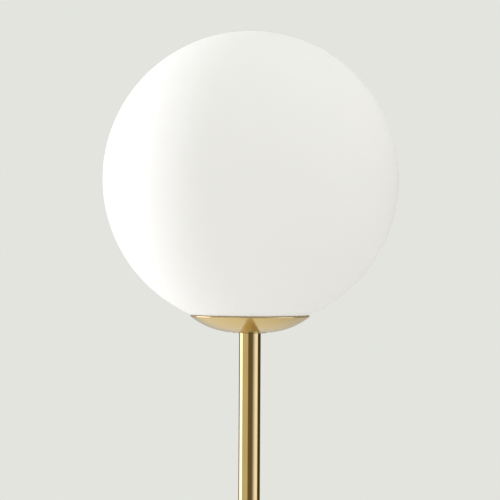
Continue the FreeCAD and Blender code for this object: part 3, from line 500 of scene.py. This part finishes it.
def makeGlobe():
    g = globe
    outer, inner = g["radius"], g["radius"] - g["wall"]
    middle = (0.0, g["rise"])
    opening, past = g["opening"], g["opening"] + g["edgeRun"]
    edge = rounded([
        onGlobe(outer, past), onGlobe(outer, opening) + (g["edgeRound"],),
        onGlobe(inner, opening) + (g["edgeRound"],), onGlobe(inner, past),
    ])
    outline = list(edge)
    outline += arcPoints(middle, inner, edge[-1], (0.0, middle[1] + inner), g["bandSteps"])[1:]
    outline += arcPoints(middle, outer, (0.0, middle[1] + outer), edge[0], g["bandSteps"])[:-1]
    outline = [(max(0.0, r), z) for r, z in outline]
    turned("globeGlass", outline, levels["dish"], "opal", "globe", "globe_glass", 192)


seatRing = {
    "bore": 40.0, "seat": 48.0, "lip": 46.0, "lipThickness": 1.5, "fit": 0.05, "overDish": 0.3,
    "ribs": 3, "ribHeight": 0.22, "ribSteps": 24,      # shallow moulded ribs under the seat
}


def makeSeatRing():
    s = seatRing
    seatCurve = dish["sideCurve"] - dish["wall"] - s["overDish"]
    underGlass = globe["radius"] + s["fit"]
    overGlass = globe["radius"] - globe["wall"] - s["fit"]
    lipTop = overGlass - s["lipThickness"]
    edge = globe["opening"] - s["fit"]
    side = (dish["sideOut"], dish["sideUp"])
    middle = (0.0, globe["rise"])
    start, stop = onDish(seatCurve, s["bore"]), onDish(seatCurve, s["seat"])
    bottom = arcPoints(side, seatCurve, start, stop, s["ribSteps"])
    outline = []
    for k, (r, z) in enumerate(bottom):
        wave = (1 - math.cos(tau * s["ribs"] * k / s["ribSteps"])) / 2
        outline.append((r, z + s["ribHeight"] * wave))
    for radius, start, stop, steps in (
        (underGlass, s["seat"], edge, 6),
        (overGlass, edge, s["lip"], 6),
        (lipTop, s["lip"], s["bore"], 8),
    ):
        outline += arcPoints(middle, radius, onGlobe(radius, start), onGlobe(radius, stop), steps)
    turned("globeSeatRing", outline, levels["dish"], "silicone", "globe", "globe_seat_ring")


def makeDish():
    d = dish
    inner = d["sideCurve"] - d["wall"]
    rim, lipBore, lipTop = d["rim"], d["lipBore"], d["lipTop"]
    bottom, side = (0.0, d["bottomMiddle"]), (d["sideOut"], d["sideUp"])
    bend = (d["bend"], d["bendRise"])
    innerBend = (d["bend"] - d["wall"] * d["tilt"], d["bendRise"] + d["wall"] * d["tiltUp"])
    innerFlat = math.sqrt((d["bottomCurve"] - d["wall"]) ** 2 - (d["bottomMiddle"] - d["wall"]) ** 2)
    roundOut, roundUp = rim - d["lipRound"], lipTop - d["lipRound"]
    outline = [(d["bore"], 0.0)]
    outline += arcPoints(bottom, d["bottomCurve"], (d["flat"], 0.0), bend, 16)
    outline += arcPoints(side, d["sideCurve"], bend, (rim, d["rise"]), d["sideSteps"])[1:-1]
    outline += rounded([outline[-1], (rim, d["rise"], d["lipFoot"]), (rim, roundUp)])[1:-1]
    outline += arcPoints((roundOut, roundUp), d["lipRound"], (rim, roundUp), (roundOut, lipTop), 8)
    outline += [(lipBore, lipTop - 0.1)]
    outline += arcPoints(side, inner, onDish(inner, lipBore), innerBend, d["sideSteps"])
    outline += arcPoints(bottom, d["bottomCurve"] - d["wall"], innerBend, (innerFlat, d["wall"]), 12)[1:]
    outline += [(d["bore"], d["wall"])]
    turned("dish", outline, levels["dish"], "spunBrass", "stem", "dish", 192)


makeGlobe()
makeSeatRing()
makeDish()
print("globe, ring and dish made")


# pole and collars

pole = {
    "radius": 11.0, "wall": 1.2, "edge": 0.3,
    "collar": 17.0, "collarThickness": 0.8, "collarEdge": 0.1, "footBore": 6.55, "headBore": 5.05,
}


def makePole():
    p = pole
    radius, edge, length = p["radius"], p["edge"], levels["section"]
    bore = radius - p["wall"]
    outline = rounded([(bore, 0), (radius, 0, edge), (radius, length, edge), (bore, length)], 4)
    for k, node in enumerate(("pole_lower_section", "pole_middle_section", "pole_upper_section")):
        turned("poleSection%d" % (k + 1), outline, levels["foot"] + length * k, "drawnBrass", "stem",
               node, 96)


def makeCollars():
    p = pole
    thick, edge, radius = p["collarThickness"], p["collarEdge"], p["collar"]
    for name, node, level, bore, finish in (
        ("footCollar", "foot_collar", levels["foot"] - thick, p["footBore"], "spunBrass"),
        ("headCollar", "head_collar", levels["poleTop"], p["headBore"], "shadowedBrass"),
    ):
        outline = rounded([(bore, 0), (radius, 0, edge), (radius, thick, edge), (bore, thick)], 4)
        turned(name, outline, level, finish, "stem", node)


makePole()
makeCollars()
print("pole made")


# base

base = {
    "radius": 140.0, "height": 25.0, "wall": 1.2, "edge": 5.0, "lift": 3.5, "bore": 6.8,
    "inletHeight": 10.5, "inletBody": 5.2, "inletBore": 3.4, "inletFlange": 6.8, "inletPlay": 0.05,
}


def towardsRear(distance):
    # turns a shape's axis to the rear at the cord inlet's height, distance mm behind the pole's axis
    place = Matrix.Translation((0, distance * mm, base["inletHeight"] * mm))
    return place @ Matrix.Rotation(-math.pi / 2, 4, "X")


def makeBaseCover():
    b = base
    inside = b["radius"] - b["wall"]
    ceiling = b["height"] - b["wall"]
    outline = rounded([
        (b["bore"], ceiling), (inside, ceiling, b["edge"] - b["wall"]), (inside, b["lift"], 0.3),
        (b["radius"], b["lift"], 0.4), (b["radius"], b["height"], b["edge"]), (b["bore"], b["height"]),
    ], 10)
    cover = turned("baseCover", outline, 0.0, "spunBrass", "stem", "base_cover", 256)
    drill, start, length = b["inletBody"] + b["inletPlay"], 120, 40      # from within out through the wall
    tool = bmesh.new()
    spin(tool, [(0, 0), (drill, 0), (drill, length), (0, length)], 0.0, 48, None, towardsRear(start))
    cutAway(cover, tool)


def makeCordBush():
    b = base
    bore, body, flange = b["inletBore"], b["inletBody"], b["inletFlange"]
    outline = rounded([
        (bore, -12, 0.4), (body - 0.6, -12, 0.3), (body, -10),          # tapered end
        (body, -3.9), (body + 0.5, -1.5), (body, -1.5),                 # barb behind the cover
        (body, 0.3), (flange, 0.3, 0.2), (flange, 1.5, 0.6), (bore, 1.5, 0.35),
    ])
    bm = bmesh.new()
    spin(bm, outline, 0.0, 64, None, towardsRear(b["radius"]))
    finishMesh("cordBush", bm, "nylon", "stem", "cord_bush")


plateScrew = {
    "count": 4, "circle": 118.0, "under": 0.8, "head": 4.0, "headHeight": 2.2, "headRound": 1.2,
    "shank": 2.0, "top": 12.3, "point": 1.2,
    "cross": (4.4, 0.75, 2.6),     # the recess's length, width and height
}


def makePlateScrews():
    # pan heads with a cross recess, seen from below
    s = plateScrew
    under, over = s["under"], s["under"] + s["headHeight"]
    outline = rounded([
        (0, under), (s["head"], under, s["headRound"]), (s["head"], over), (s["shank"], over),
        (s["shank"], s["top"] - 1.2), (s["point"], s["top"] - 0.3), (0, s["top"] - 0.3),
    ])
    recess = Matrix.Diagonal(tuple(side * mm for side in s["cross"]) + (1,))
    bm, tool = bmesh.new(), bmesh.new()
    for k in range(s["count"]):
        angle = math.radians(45) + tau * k / s["count"]
        across, back = s["circle"] * math.cos(angle) * mm, s["circle"] * math.sin(angle) * mm
        spin(bm, outline, 0.0, 32, None, Matrix.Translation((across, back, 0)))
        for turn in (0, math.pi / 2):
            place = Matrix.Translation((across, back, under * mm)) @ Matrix.Rotation(turn, 4, "Z") @ recess
            bmesh.ops.create_cube(tool, size=1.0, matrix=place)
    screws = finishMesh("basePlateScrews", bm, "zinc", "stem", "base_plate_screws")
    cutAway(screws, tool)


makeBaseCover()
makeCordBush()
makePlateScrews()
print("base made")


# gallery, clips and what holds them

gallery = {
    "bore": 5.05, "hub": 16.0, "step": 30.0, "edge": 37.6, "thickness": 1.2, "low": 1.2, "bend": 1.5,
    "edgeRound": 0.2, "overDish": 0.3, "clipAngles": (90, 210, 330),
}
gallery["flange"] = onDish(dish["sideCurve"] - dish["wall"], gallery["edge"])[1] + gallery["overDish"]
gallery["flangeTop"] = gallery["flange"] + gallery["thickness"]


def makeGallery():
    g = gallery
    low, top = g["low"], g["low"] + g["thickness"]
    flange, flangeTop = g["flange"], g["flangeTop"]
    lean = g["thickness"] * 0.4      # the upper face turns a little nearer the axis
    outline = rounded([
        (g["bore"], low), (g["hub"], low, g["bend"]), (g["step"], flange, g["bend"]),
        (g["edge"], flange, g["edgeRound"]), (g["edge"], flangeTop, g["edgeRound"]),
        (g["step"] - lean, flangeTop, g["bend"]), (g["hub"] - lean, top, g["bend"]), (g["bore"], top),
    ])
    turned("galleryPlate", outline, levels["dish"], "zinc", "stem", "gallery_plate", 96)


clip = {
    "width": 11.0, "thickness": 0.6, "start": 30.0, "leg": 37.0, "knee": 42.3,
    "hook": (145.45, 40.0),      # the knee holds the ring there: radius in the globe, distance out
    "kneeDrop": 1.65, "legBend": 3.0, "bend": 1.2, "tipIn": 0.6, "tipUp": 3.0,
    "endRound": 1.6, "endLength": 2.0, "edge": 0.15,
}


def clipPath():
    # the middle line in (r, z), with the same bends as the solid's
    c = clip
    hook = onGlobe(*c["hook"])[1]
    half = c["thickness"] / 2
    foot = gallery["flangeTop"] + half
    leg, knee = c["leg"] + half, c["knee"] - half
    bulge = knee - leg
    return rounded([
        (c["start"], foot), (leg, foot, c["bend"]), (leg, hook - c["kneeDrop"], c["legBend"]),
        (knee, hook - c["kneeDrop"] + bulge * 1.15, c["bend"]),
        (leg - c["tipIn"], hook + c["tipUp"] + bulge * 2.1),
    ], 6)


def makeClips():
    c = clip
    path = [Vector(p) for p in clipPath()]
    last = len(path) - 1
    lengths = [0.0]
    for a, b in zip(path, path[1:]):
        lengths.append(lengths[-1] + (b - a).length)
    bm = bmesh.new()
    for angle in gallery["clipAngles"]:
        turn = Matrix.Rotation(math.radians(angle), 4, "Z")
        rows = []
        for i, here in enumerate(path):
            ahead = path[min(i + 1, last)] - path[max(i - 1, 0)]
            side = Vector((-ahead.y, ahead.x)).normalized() * (c["thickness"] / 2)
            toEnd = min(lengths[i], lengths[-1] - lengths[i])
            half = c["width"] / 2 - c["endRound"] * max(0.0, 1 - toEnd / c["endLength"]) ** 2
            flat = half - c["edge"]
            row = []
            for across, face in ((-half, -1), (-flat, -1), (flat, -1), (half, -1), (half, 1), (-half, 1)):
                q = here + side * face
                row.append(bm.verts.new(turn @ (Vector((q.x, across, levels["dish"] + q.y)) * mm)))
            rows.append(row)
        count = len(rows[0])
        for a, b in zip(rows, rows[1:]):
            for k in range(count):
                n = (k + 1) % count
                bm.faces.new((a[k], a[n], b[n], b[k]))
        bm.faces.new(rows[0])
        bm.faces.new(list(reversed(rows[-1])))
    finishMesh("springClips", bm, "spring", "stem", "spring_clips", 30)


rivet = {
    "out": 33.5, "shank": 1.5, "tail": 2.25, "tailDrop": 0.7, "tailRound": 0.4,
    "head": 2.4, "headHeight": 0.9, "headRound": 0.85,
}


def makeRivets():
    v = rivet
    under, tail = gallery["flange"], gallery["flange"] - v["tailDrop"]
    top = gallery["flangeTop"] + clip["thickness"]
    head = top + v["headHeight"]
    outline = rounded([
        (0, tail), (v["tail"], tail, v["tailRound"]), (v["tail"], under), (v["shank"], under),
        (v["shank"], top), (v["head"], top), (v["head"], head, v["headRound"]), (0, head),
    ])
    bm = bmesh.new()
    for angle in gallery["clipAngles"]:
        a = math.radians(angle)
        place = Matrix.Translation((v["out"] * math.cos(a) * mm, v["out"] * math.sin(a) * mm, 0))
        spin(bm, outline, levels["dish"], 32, None, place)
    finishMesh("clipRivets", bm, "turnedBrass", "stem", "clip_rivets")


nuts = {  # across the flats, height, bore and level
    "galleryNut": ("gallery_nut", 15.0, 4.0, 5.05, levels["dish"] + 3.2),
    "baseNut": ("base_nut", 19.5, 6.0, 6.55, 10.0),
}


def makeNut(name, node, flats, height, bore, level):
    # a hexagon with turned chamfers and a bevelled bore
    apothem = flats / 2
    corner = apothem / math.cos(math.pi / 6)
    chamfer = (corner - apothem) * math.tan(math.radians(30))
    bevel = 0.5
    ring = apothem * 0.97      # where the chamfer meets the face

    def hexagon(r, z, angle):
        if r < apothem * 0.9:
            return r
        wedge = (angle + math.pi / 6) % (math.pi / 3) - math.pi / 6
        return min(r, apothem / math.cos(wedge))

    outline = [
        (bore, bevel), (bore + bevel, 0), (ring, 0), (corner, chamfer),
        (corner, height - chamfer), (ring, height), (bore + bevel, height), (bore, height - bevel),
    ]
    turned(name, outline, level, "zinc", "stem", node, 144, hexagon, 25)


makeGallery()
makeClips()
makeRivets()
for name, sizes in nuts.items():
    makeNut(name, *sizes)
print("gallery made")


# lampholder

holder = {
    "low": 7.2, "bore": 5.05, "collar": 8.5, "collarHeight": 6.0, "dome": 24.0, "straight": 4.0,
    "skirt": 38.0, "mouth": 15.3, "radius": 19.5, "wall": 2.0, "edge": 0.25,
    "ribs": 40, "ribDepth": 0.45, "ribFade": 1.5,
    "ribsLow": 3.0, "ribsTop": 8.0,      # where they start and end, from the skirt's foot and from its top
}


def makeLowerHalf():
    h = holder
    radius, dome, collarHeight = h["radius"], h["dome"], h["collarHeight"]
    inner = radius - h["wall"]
    rise = dome - collarHeight - h["straight"]
    shoulder = h["collar"] + 1
    spread = radius - shoulder
    curve = (rise * rise + spread * spread) / (spread * 2)
    middle = (radius - curve, collarHeight + rise)
    roof = collarHeight + h["wall"]
    innerReach = middle[0] + math.sqrt((curve - h["wall"]) ** 2 - (rise - h["wall"]) ** 2)
    groove = radius - 0.35
    outline = [(h["bore"], 0.0)]
    outline += rounded([
        (h["bore"], 0), (h["collar"], 0, 0.5), (h["collar"], collarHeight, 0.4), (shoulder, collarHeight),
    ])[1:-1]
    outline += arcPoints(middle, curve, (shoulder, collarHeight), (radius, middle[1]), 20)
    outline += [(radius, dome - 2.2), (groove, dome - 1.9), (groove, dome - 1.3), (radius, dome - 1.0)]
    outline += [(radius, dome - h["edge"]), (radius - h["edge"], dome), (inner, dome)]
    outline += arcPoints(middle, curve - h["wall"], (inner, middle[1]), (innerReach, roof), 12)
    outline += [(h["bore"], roof)]
    turned("holderLowerHalf", outline, levels["dish"] + h["low"], "blackPlastic", "stem",
           "holder_lower_half")


def makeUpperHalf():
    h = holder
    radius, top, edge = h["radius"], h["skirt"], h["edge"]
    inner = radius - h["wall"]
    low, high, fadeOver = h["ribsLow"], top - h["ribsTop"], h["ribFade"]
    groove = radius - 0.3

    def ribbed(r, z, angle):
        if r < radius - 0.7 or z < low or z > high:
            return r
        wave = 0.5 - 0.5 * math.cos(angle * h["ribs"])
        fade = min(1.0, (z - low) / fadeOver, (high - z) / fadeOver)
        return r - h["ribDepth"] * (1 - wave ** 0.5) * fade

    outline = [(inner, 0.0), (radius - edge, 0.0), (radius, edge), (radius, low)]
    outline += climb(radius, low, low + fadeOver, 4)
    outline += climb(radius, low + fadeOver, high - fadeOver, 6)
    outline += climb(radius, high - fadeOver, high, 4)
    outline += [(radius, top - 7.0), (groove, top - 6.6), (groove, top - 6.0), (radius, top - 5.6)]
    outline += rounded([
        (radius, top - 5.0), (radius, top, 2.5), (h["mouth"], top, 0.5), (h["mouth"], top - h["wall"], 0.3),
        (inner, top - h["wall"] - 2),
    ])[1:]
    turned("holderUpperHalf", outline, levels["dish"] + h["low"] + h["dome"], "blackPlastic", "stem",
           "holder_upper_half", 240, ribbed, 40)


screwShell = {
    "low": holder["low"] + holder["dome"] + 8.0, "bore": 13.35, "wall": 0.4, "height": 20.0, "flange": 8.8,
    "pitch": 3.63, "threadDepth": 0.3, "ringsPerTurn": 14,
}


def makeScrewShell():
    s = screwShell
    low, bore, outer = s["low"], s["bore"], s["bore"] + s["wall"]
    start, stop = low + 1.2, low + s["height"]
    threadLow = low + 0.9

    def thread(r, z, angle):
        if z < start or r < bore - 0.45:
            return r
        fade = min(1.0, (z - start) / 1.0, (stop - z) / 0.6 + 0.2)
        wave = math.sin(tau * (z / s["pitch"]) - angle)
        return r - s["threadDepth"] / 2 * (1 - wave) * fade

    steps = int((stop - threadLow) / s["pitch"] * s["ringsPerTurn"])     # close enough to carry the thread
    outline = [(s["flange"], low), (outer - 0.4, low), (outer, low + 0.4)]
    outline += [(outer, threadLow)] + climb(outer, threadLow, stop, steps)
    outline += [(bore, stop)] + climb(bore, stop, threadLow, steps)
    outline += [(bore - 0.1, low + 0.4), (s["flange"], low + 0.3)]
    turned("holderScrewShell", outline, levels["dish"], "turnedBrass", "stem",
           "holder_screw_shell", 96, thread, 60)


makeLowerHalf()
makeUpperHalf()
makeScrewShell()
print("lampholder made")


# bulb

bulb = {
    "tip": 43.6, "cap": 13.1, "capLow": 48.6, "capTop": 69.6,
    "neck": 14.5, "shoulder": 26.0, "flare": 60.0, "housingTop": 91.6, "housingWall": 1.8,
    "equator": 30.0, "top": 151.6, "wall": 1.0,
    "pitch": 3.63, "threadDepth": 0.55, "threadPlay": 0.1, "threadFade": 1.2, "threadRings": 70,
}


def makeEnvelope():
    b = bulb
    middle, low = b["top"] - b["equator"], b["housingTop"]
    rise = middle - low
    spread = b["equator"] - b["shoulder"]
    curve = (rise * rise + spread * spread) / (spread * 2)
    centre, side = (0, middle), (b["equator"] - curve, middle)
    inner = b["equator"] - b["wall"]
    innerLow = side[0] + math.sqrt((curve - b["wall"]) ** 2 - rise ** 2)
    outline = arcPoints(side, curve, (b["shoulder"], low), (b["equator"], middle), 24)
    outline += arcPoints(centre, b["equator"], (b["equator"], middle), (0, b["top"]), 32)[1:]
    outline += arcPoints(centre, inner, (0, b["top"] - b["wall"]), (inner, middle), 32)
    outline += arcPoints(side, curve - b["wall"], (inner, middle), (innerLow, low), 24)[1:]
    outline = [(0.0 if abs(r) < 1e-6 else r, z) for r, z in outline]
    turned("bulbEnvelope", outline, levels["dish"], "frosted", "bulb",
           "bulb_envelope", 96)


def hollowCurve(start, stop, radius, steps):
    # between two points, bending in towards the axis
    a, b = Vector(start), Vector(stop)
    chord = b - a
    left = Vector((-chord.y, chord.x)).normalized()
    middle = (a + b) / 2 - left * math.sqrt(radius * radius - (chord.length / 2) ** 2)
    return arcPoints(middle, radius, start, stop, steps)


def makeHousing():
    b = bulb
    capTop, neck, shoulder = b["capTop"], b["neck"], b["shoulder"]
    top = b["housingTop"] - 0.05
    stub = b["cap"] - 0.35 - b["threadDepth"]      # the part inside the cap
    stubLow, neckLow = capTop - 12, capTop + 0.05
    flare = hollowCurve((neck + 0.4, capTop + 4), (shoulder, top), b["flare"], 14)
    outline = [(stub - 1.5, stubLow), (stub, stubLow), (stub, neckLow)]
    outline += rounded([(stub, neckLow), (neck, neckLow, 0.5), flare[0]])[1:-1]
    outline += flare[:-1] + [(shoulder, top - 0.55), (shoulder - 0.35, top - 0.4), (shoulder - 0.35, top)]
    wall = b["housingWall"]
    outline += [(shoulder - wall, top), (neck - wall, capTop + 5), (stub - 1.5, capTop)]
    turned("bulbHousing", outline, levels["dish"], "whitePlastic", "bulb",
           "bulb_housing", 96)


def makeCap():
    b = bulb
    cap, low, top, play = b["cap"], b["capLow"], b["capTop"], b["threadPlay"]
    start, stop = low + 3.0, top - 1.6
    inner = cap - 0.3 - b["threadDepth"]

    def thread(r, z, angle):
        if r < cap - 0.6 or z < start or z > stop:
            return r
        fade = min(1.0, (z - start) / b["threadFade"], (stop - z) / b["threadFade"])
        wave = math.sin(tau * (z / b["pitch"]) - angle)
        return r - b["threadDepth"] / 2 * (1 - wave) * fade - play

    outline = [(cap - 2.2, low), (cap - 0.4, low + 1.5), (cap - play, low + 2.2)]
    outline += [(cap, start)] + climb(cap, start, stop, b["threadRings"])
    outline += [(cap - play, top - 0.3), (cap - 0.3, top)]
    outline += [(inner, top), (inner, low + 2.4), (cap - 2.3, low + 0.4)]
    turned("bulbCap", outline, levels["dish"], "aluminium", "bulb",
           "bulb_cap", 96, thread, 60)


def makeTip():
    b = bulb
    tip, low, edge = b["tip"], b["capLow"], b["cap"] - 2.3
    insulator = rounded([
        (3, tip + 1.2), (4.8, tip + 1.2, 0.3), (edge, low - 0.05, 0.8), (edge, low + 0.2), (3, low + 0.2),
    ])
    turned("bulbInsulator", insulator, levels["dish"], "fusedGlass", "bulb",
           "bulb_insulator", 64)
    solder = rounded([
        (0, tip), (3.8, tip, 0.6), (4.6, tip + 0.5, 0.3), (4.6, tip + 1.2),
        (2.9, tip + 1.2), (2.9, tip + 3), (0, tip + 3),
    ])
    turned("bulbTipContact", solder, levels["dish"], "aluminium", "bulb",
           "bulb_tip_contact", 64)


makeEnvelope()
makeHousing()
makeCap()
makeTip()
print("bulb made")


# the CAD nodes whose shape is right as it is get their finish

innerNodes = {
    "iron": ["base_weight"],
    "foam": ["base_pad"],
    "zinc": ["base_plate", "base_stud", "base_clamp_washer", "terminal_screws", "terminal_block_screw",
             "lower_joint_stud", "upper_joint_stud", "dish_nipple", "holder_set_screw",
             "holder_wire_screws", "holder_contact_screws"],
    "spring": ["base_lock_washer", "gallery_lock_washer", "holder_centre_contact"],
    "turnedBrass": ["terminal_sleeves", "earth_tag", "earth_screw", "pole_foot_bush", "lower_joint_bushes",
                    "upper_joint_bushes", "pole_top_bush", "holder_posts", "screw_shell_rivets"],
    "whitePlastic": ["terminal_block"],
    "ceramic": ["holder_insert"],
    "aluminium": ["bulb_light_board"],
    "leadGreen": ["earth_lead"],
    "leadBlue": ["neutral_lead"],
    "leadBrown": ["live_lead"],
}
for finish, nodes in innerNodes.items():
    for node in nodes:
        cadNodes[node].data.materials.clear()
        cadNodes[node].data.materials.append(finishes[finish])
print("CAD nodes finished:", sum(len(nodes) for nodes in innerNodes.values()))


# floor, light and camera

studio = {
    "backdrop": (0.768, 0.776, 0.735, 1),
    "evenLight": (0.885, 0.872, 0.840, 1),
    "topLight": (0.978, 0.984, 0.943, 1),
    "lightLeft": 0.95, "lightRight": 1.07,
}

window = {
    "distance": 3.2, "bearing": -107.5, "height": 1.5, "width": 0.5, "tall": 1.8, "aim": 1.35,
    "power": 59.0, "colour": (0.93, 0.92, 1.0),
}
bearing = math.radians(window["bearing"])
window["towards"] = (math.sin(bearing), -math.cos(bearing), 0.0)      # the level direction from the lamp
window["place"] = tuple(t * window["distance"] for t in window["towards"][:2]) + (window["height"],)

floorLook = {
    "radius": 9.0, "fade": (0.8, 5.0), "drop": 0.0002, "grain": 240.0, "roughness": 0.55,
    "colour": (0.865, 0.865, 0.84, 1), "speck": (0.85, 0.85, 0.82, 1),
    "rightShade": (0.15, 0.14, 0.13, 1), "rightShare": 0.25,     # painted shade: the floor darker on its right, as the metal sees it
    "windowShare": 10.5,      # the window's light on the floor against the even light, for the painted shade that evens out its patch
}


def makeFloor():
    f = floorLook
    finish, tree, place = newFinish("paleFloor")
    grain = noise(tree, place, f["grain"], 3.0)
    right = mapped(tree, shadeNode(tree, "SeparateXYZ", {}, [place], "X"), 0.0, 1.1)
    plain = mixColours(tree, grain * 0.2, f["colour"], f["speck"])
    # painted shade on the floor's right, for every ray but the camera's
    reflected = mixColours(tree, right * f["rightShare"], plain, f["rightShade"])
    # painted shade: for the camera the floor is darkened where the window's light falls, so its bright
    # patch is evened out
    near = window["distance"] - vectorMath(tree, "DOT_PRODUCT", place, window["towards"], "Value")
    apart = vectorMath(tree, "SUBTRACT", place, window["place"])
    share = near * f["windowShare"] / vectorMath(tree, "LENGTH", apart, None, "Value") ** 4.0
    tone = 1 / (1 + share.math("MAXIMUM", 0.0))
    seen = mixColours(tree, tone, (0.0, 0.0, 0.0, 1), plain)
    colour = mixColours(tree, lightRay(tree, "Is Camera Ray"), reflected, seen)
    cover = shadeNode(tree, "BsdfPrincipled", {}, {"Base Color": colour, "Roughness": f["roughness"]})
    fade = mapped(tree, vectorMath(tree, "LENGTH", place, None, "Value"), *f["fade"])
    fromBelow = shadeNode(tree, "NewGeometry", {}, {}, "Backfacing")     # clear, so it hides nothing there
    fade = fade.math("MAXIMUM", fromBelow)
    clear = shadeNode(tree, "BsdfTransparent")
    both = shadeNode(tree, "MixShader", {}, [fade, cover, clear])
    shadeNode(tree, "OutputMaterial", {}, {"Surface": both})
    bm = bmesh.new()
    bmesh.ops.create_circle(bm, cap_ends=True, radius=f["radius"], segments=128)
    floor = linked("floor", bm)
    floor.data.materials.append(finish)
    floor.location.z = -f["drop"]


# what the metal sees round it, by degrees from the camera's side, right is positive
room = {
    "front": (0.183, 0.155, 0.09, 1),
    "corner": (0.075, 0.062, 0.025, 1), "cornerStart": (92, 100), "cornerEnd": (152, 160),
    "ceiling": (0.80, 0.79, 0.76, 1), "ceilingRise": (0.04, 0.32),
    "floor": (0.60, 0.58, 0.54, 1), "floorDepth": (0.57, 0.19),
    "behind": (100, 125), "shallower": (0.42, 0.11),      # the floor reaches higher at the back
    "softBelow": 0.07, "softAbove": 0.2,
    # where each band rises and falls, with the softness of both, its lowest and highest, and its colour
    "bands": (
        (-180, 6, -134, 6, -0.08, 0.04, (0.36, 0.26, 0.16, 1)),
        (-127, 3, -84, 4, -0.25, 0.35, (2.75, 2.80, 3.30, 1)),
        (-82, 5, -18, 5, -0.45, 0.06, (0.80, 0.76, 0.63, 1)),
        (46, 24, 93, 7, -0.35, 0.25, (1.45, 1.52, 1.86, 1)),
        (160, 5, 182, 5, -0.08, 0.04, (0.42, 0.37, 0.32, 1)),
    ),
}


def paintRoom(tree, x, y, z):
    r = room
    bearing = x.math("ARCTAN2", 0.0 - y) * (180 / math.pi)
    corner = mapped(tree, bearing, *r["cornerStart"]) * (1 - mapped(tree, bearing, *r["cornerEnd"]))
    colour = mixColours(tree, corner, r["front"], r["corner"])
    behind = mapped(tree, bearing.math("ABSOLUTE"), *r["behind"])
    above = mapped(tree, z, *r["ceilingRise"])
    low, high = (behind * less - depth for less, depth in zip(r["shallower"], r["floorDepth"]))
    below = 1 - mapped(tree, z, low, high)
    colour = mixColours(tree, above, colour, r["ceiling"])
    colour = mixColours(tree, below, colour, r["floor"])
    for rise, softRise, fall, softFall, lowest, highest, shade in r["bands"]:
        band = mapped(tree, bearing, rise - softRise, rise + softRise)
        band = band * (1 - mapped(tree, bearing, fall - softFall, fall + softFall))
        band = band * mapped(tree, z, lowest - r["softBelow"], lowest)
        band = band * (1 - mapped(tree, z, highest, highest + r["softAbove"]))
        colour = mixColours(tree, band, colour, shade)
    return colour


def makeWorld():
    # the camera sees the backdrop, the metal the painted room, and scattered light an even one
    world = bpy.data.worlds.new("studio")
    world.use_nodes = True
    tree = world.node_tree
    tree.nodes.clear()
    x, y, z = axes(tree, shadeNode(tree, "TexCoord", {}, {}, "Generated"))
    reflected = shadeNode(tree, "Background", {}, {"Color": paintRoom(tree, x, y, z)})
    scattered = lightRay(tree, "Diffuse Depth").math("MINIMUM", 1.0)
    fromMirror = lightRay(tree, "Is Glossy Ray") * (1 - scattered)
    soft = mixColours(tree, mapped(tree, z, 0, 1, smooth=False), studio["evenLight"], studio["topLight"])
    strength = mapped(tree, x, -1, 1, studio["lightLeft"], studio["lightRight"], False)
    even = shadeNode(tree, "Background", {}, {"Color": soft, "Strength": strength})
    seen = shadeNode(tree, "Background", {}, {"Color": studio["backdrop"]})
    inside = shadeNode(tree, "MixShader", {}, [fromMirror, even, reflected])
    whole = shadeNode(tree, "MixShader", {}, [lightRay(tree, "Is Camera Ray"), inside, seen])
    shadeNode(tree, "OutputWorld", {}, {"Surface": whole})
    world.cycles.sampling_method = "NONE"
    bpy.context.scene.world = world


def makeWindow():
    # lights what scatters, while the metal sees the painted one
    w = window
    data = bpy.data.lights.new("window", "AREA")
    data.shape = "RECTANGLE"
    data.size = w["width"]
    data.size_y = w["tall"]
    data.energy = w["power"]
    data.color = w["colour"]
    light = bpy.data.objects.new("window", data)
    light.location = w["place"]
    aim = Vector((0, 0, w["aim"])) - light.location
    light.rotation_euler = aim.to_track_quat("-Z", "Y").to_euler()
    light.visible_camera = False
    light.visible_glossy = False
    bpy.context.scene.collection.objects.link(light)


camera = {
    "distance": 4.9,
    "side": -0.00045,
    "height": 1.39955,
    "aim": 1.32775,
    "lens": 348.2,
    "roll": 0.325,      # the photograph leans by this much, in degrees
}


def makeCamera():
    c = camera
    data = bpy.data.cameras.new("camera")
    data.lens = c["lens"]
    data.sensor_width = 36.0
    data.clip_start = 0.1
    data.clip_end = 200.0
    view = bpy.data.objects.new("camera", data)
    view.location = (c["side"], -c["distance"], c["height"])
    aim = Vector((c["side"], 0, c["aim"])) - view.location
    look = aim.to_track_quat("-Z", "Y").to_matrix().to_4x4()
    view.rotation_euler = (look @ Matrix.Rotation(math.radians(c["roll"]), 4, "Z")).to_euler()
    bpy.context.scene.collection.objects.link(view)
    bpy.context.scene.camera = view


makeFloor()
makeWorld()
makeWindow()
makeCamera()
bpy.context.scene.view_settings.view_transform = "Standard"
print("studio made")
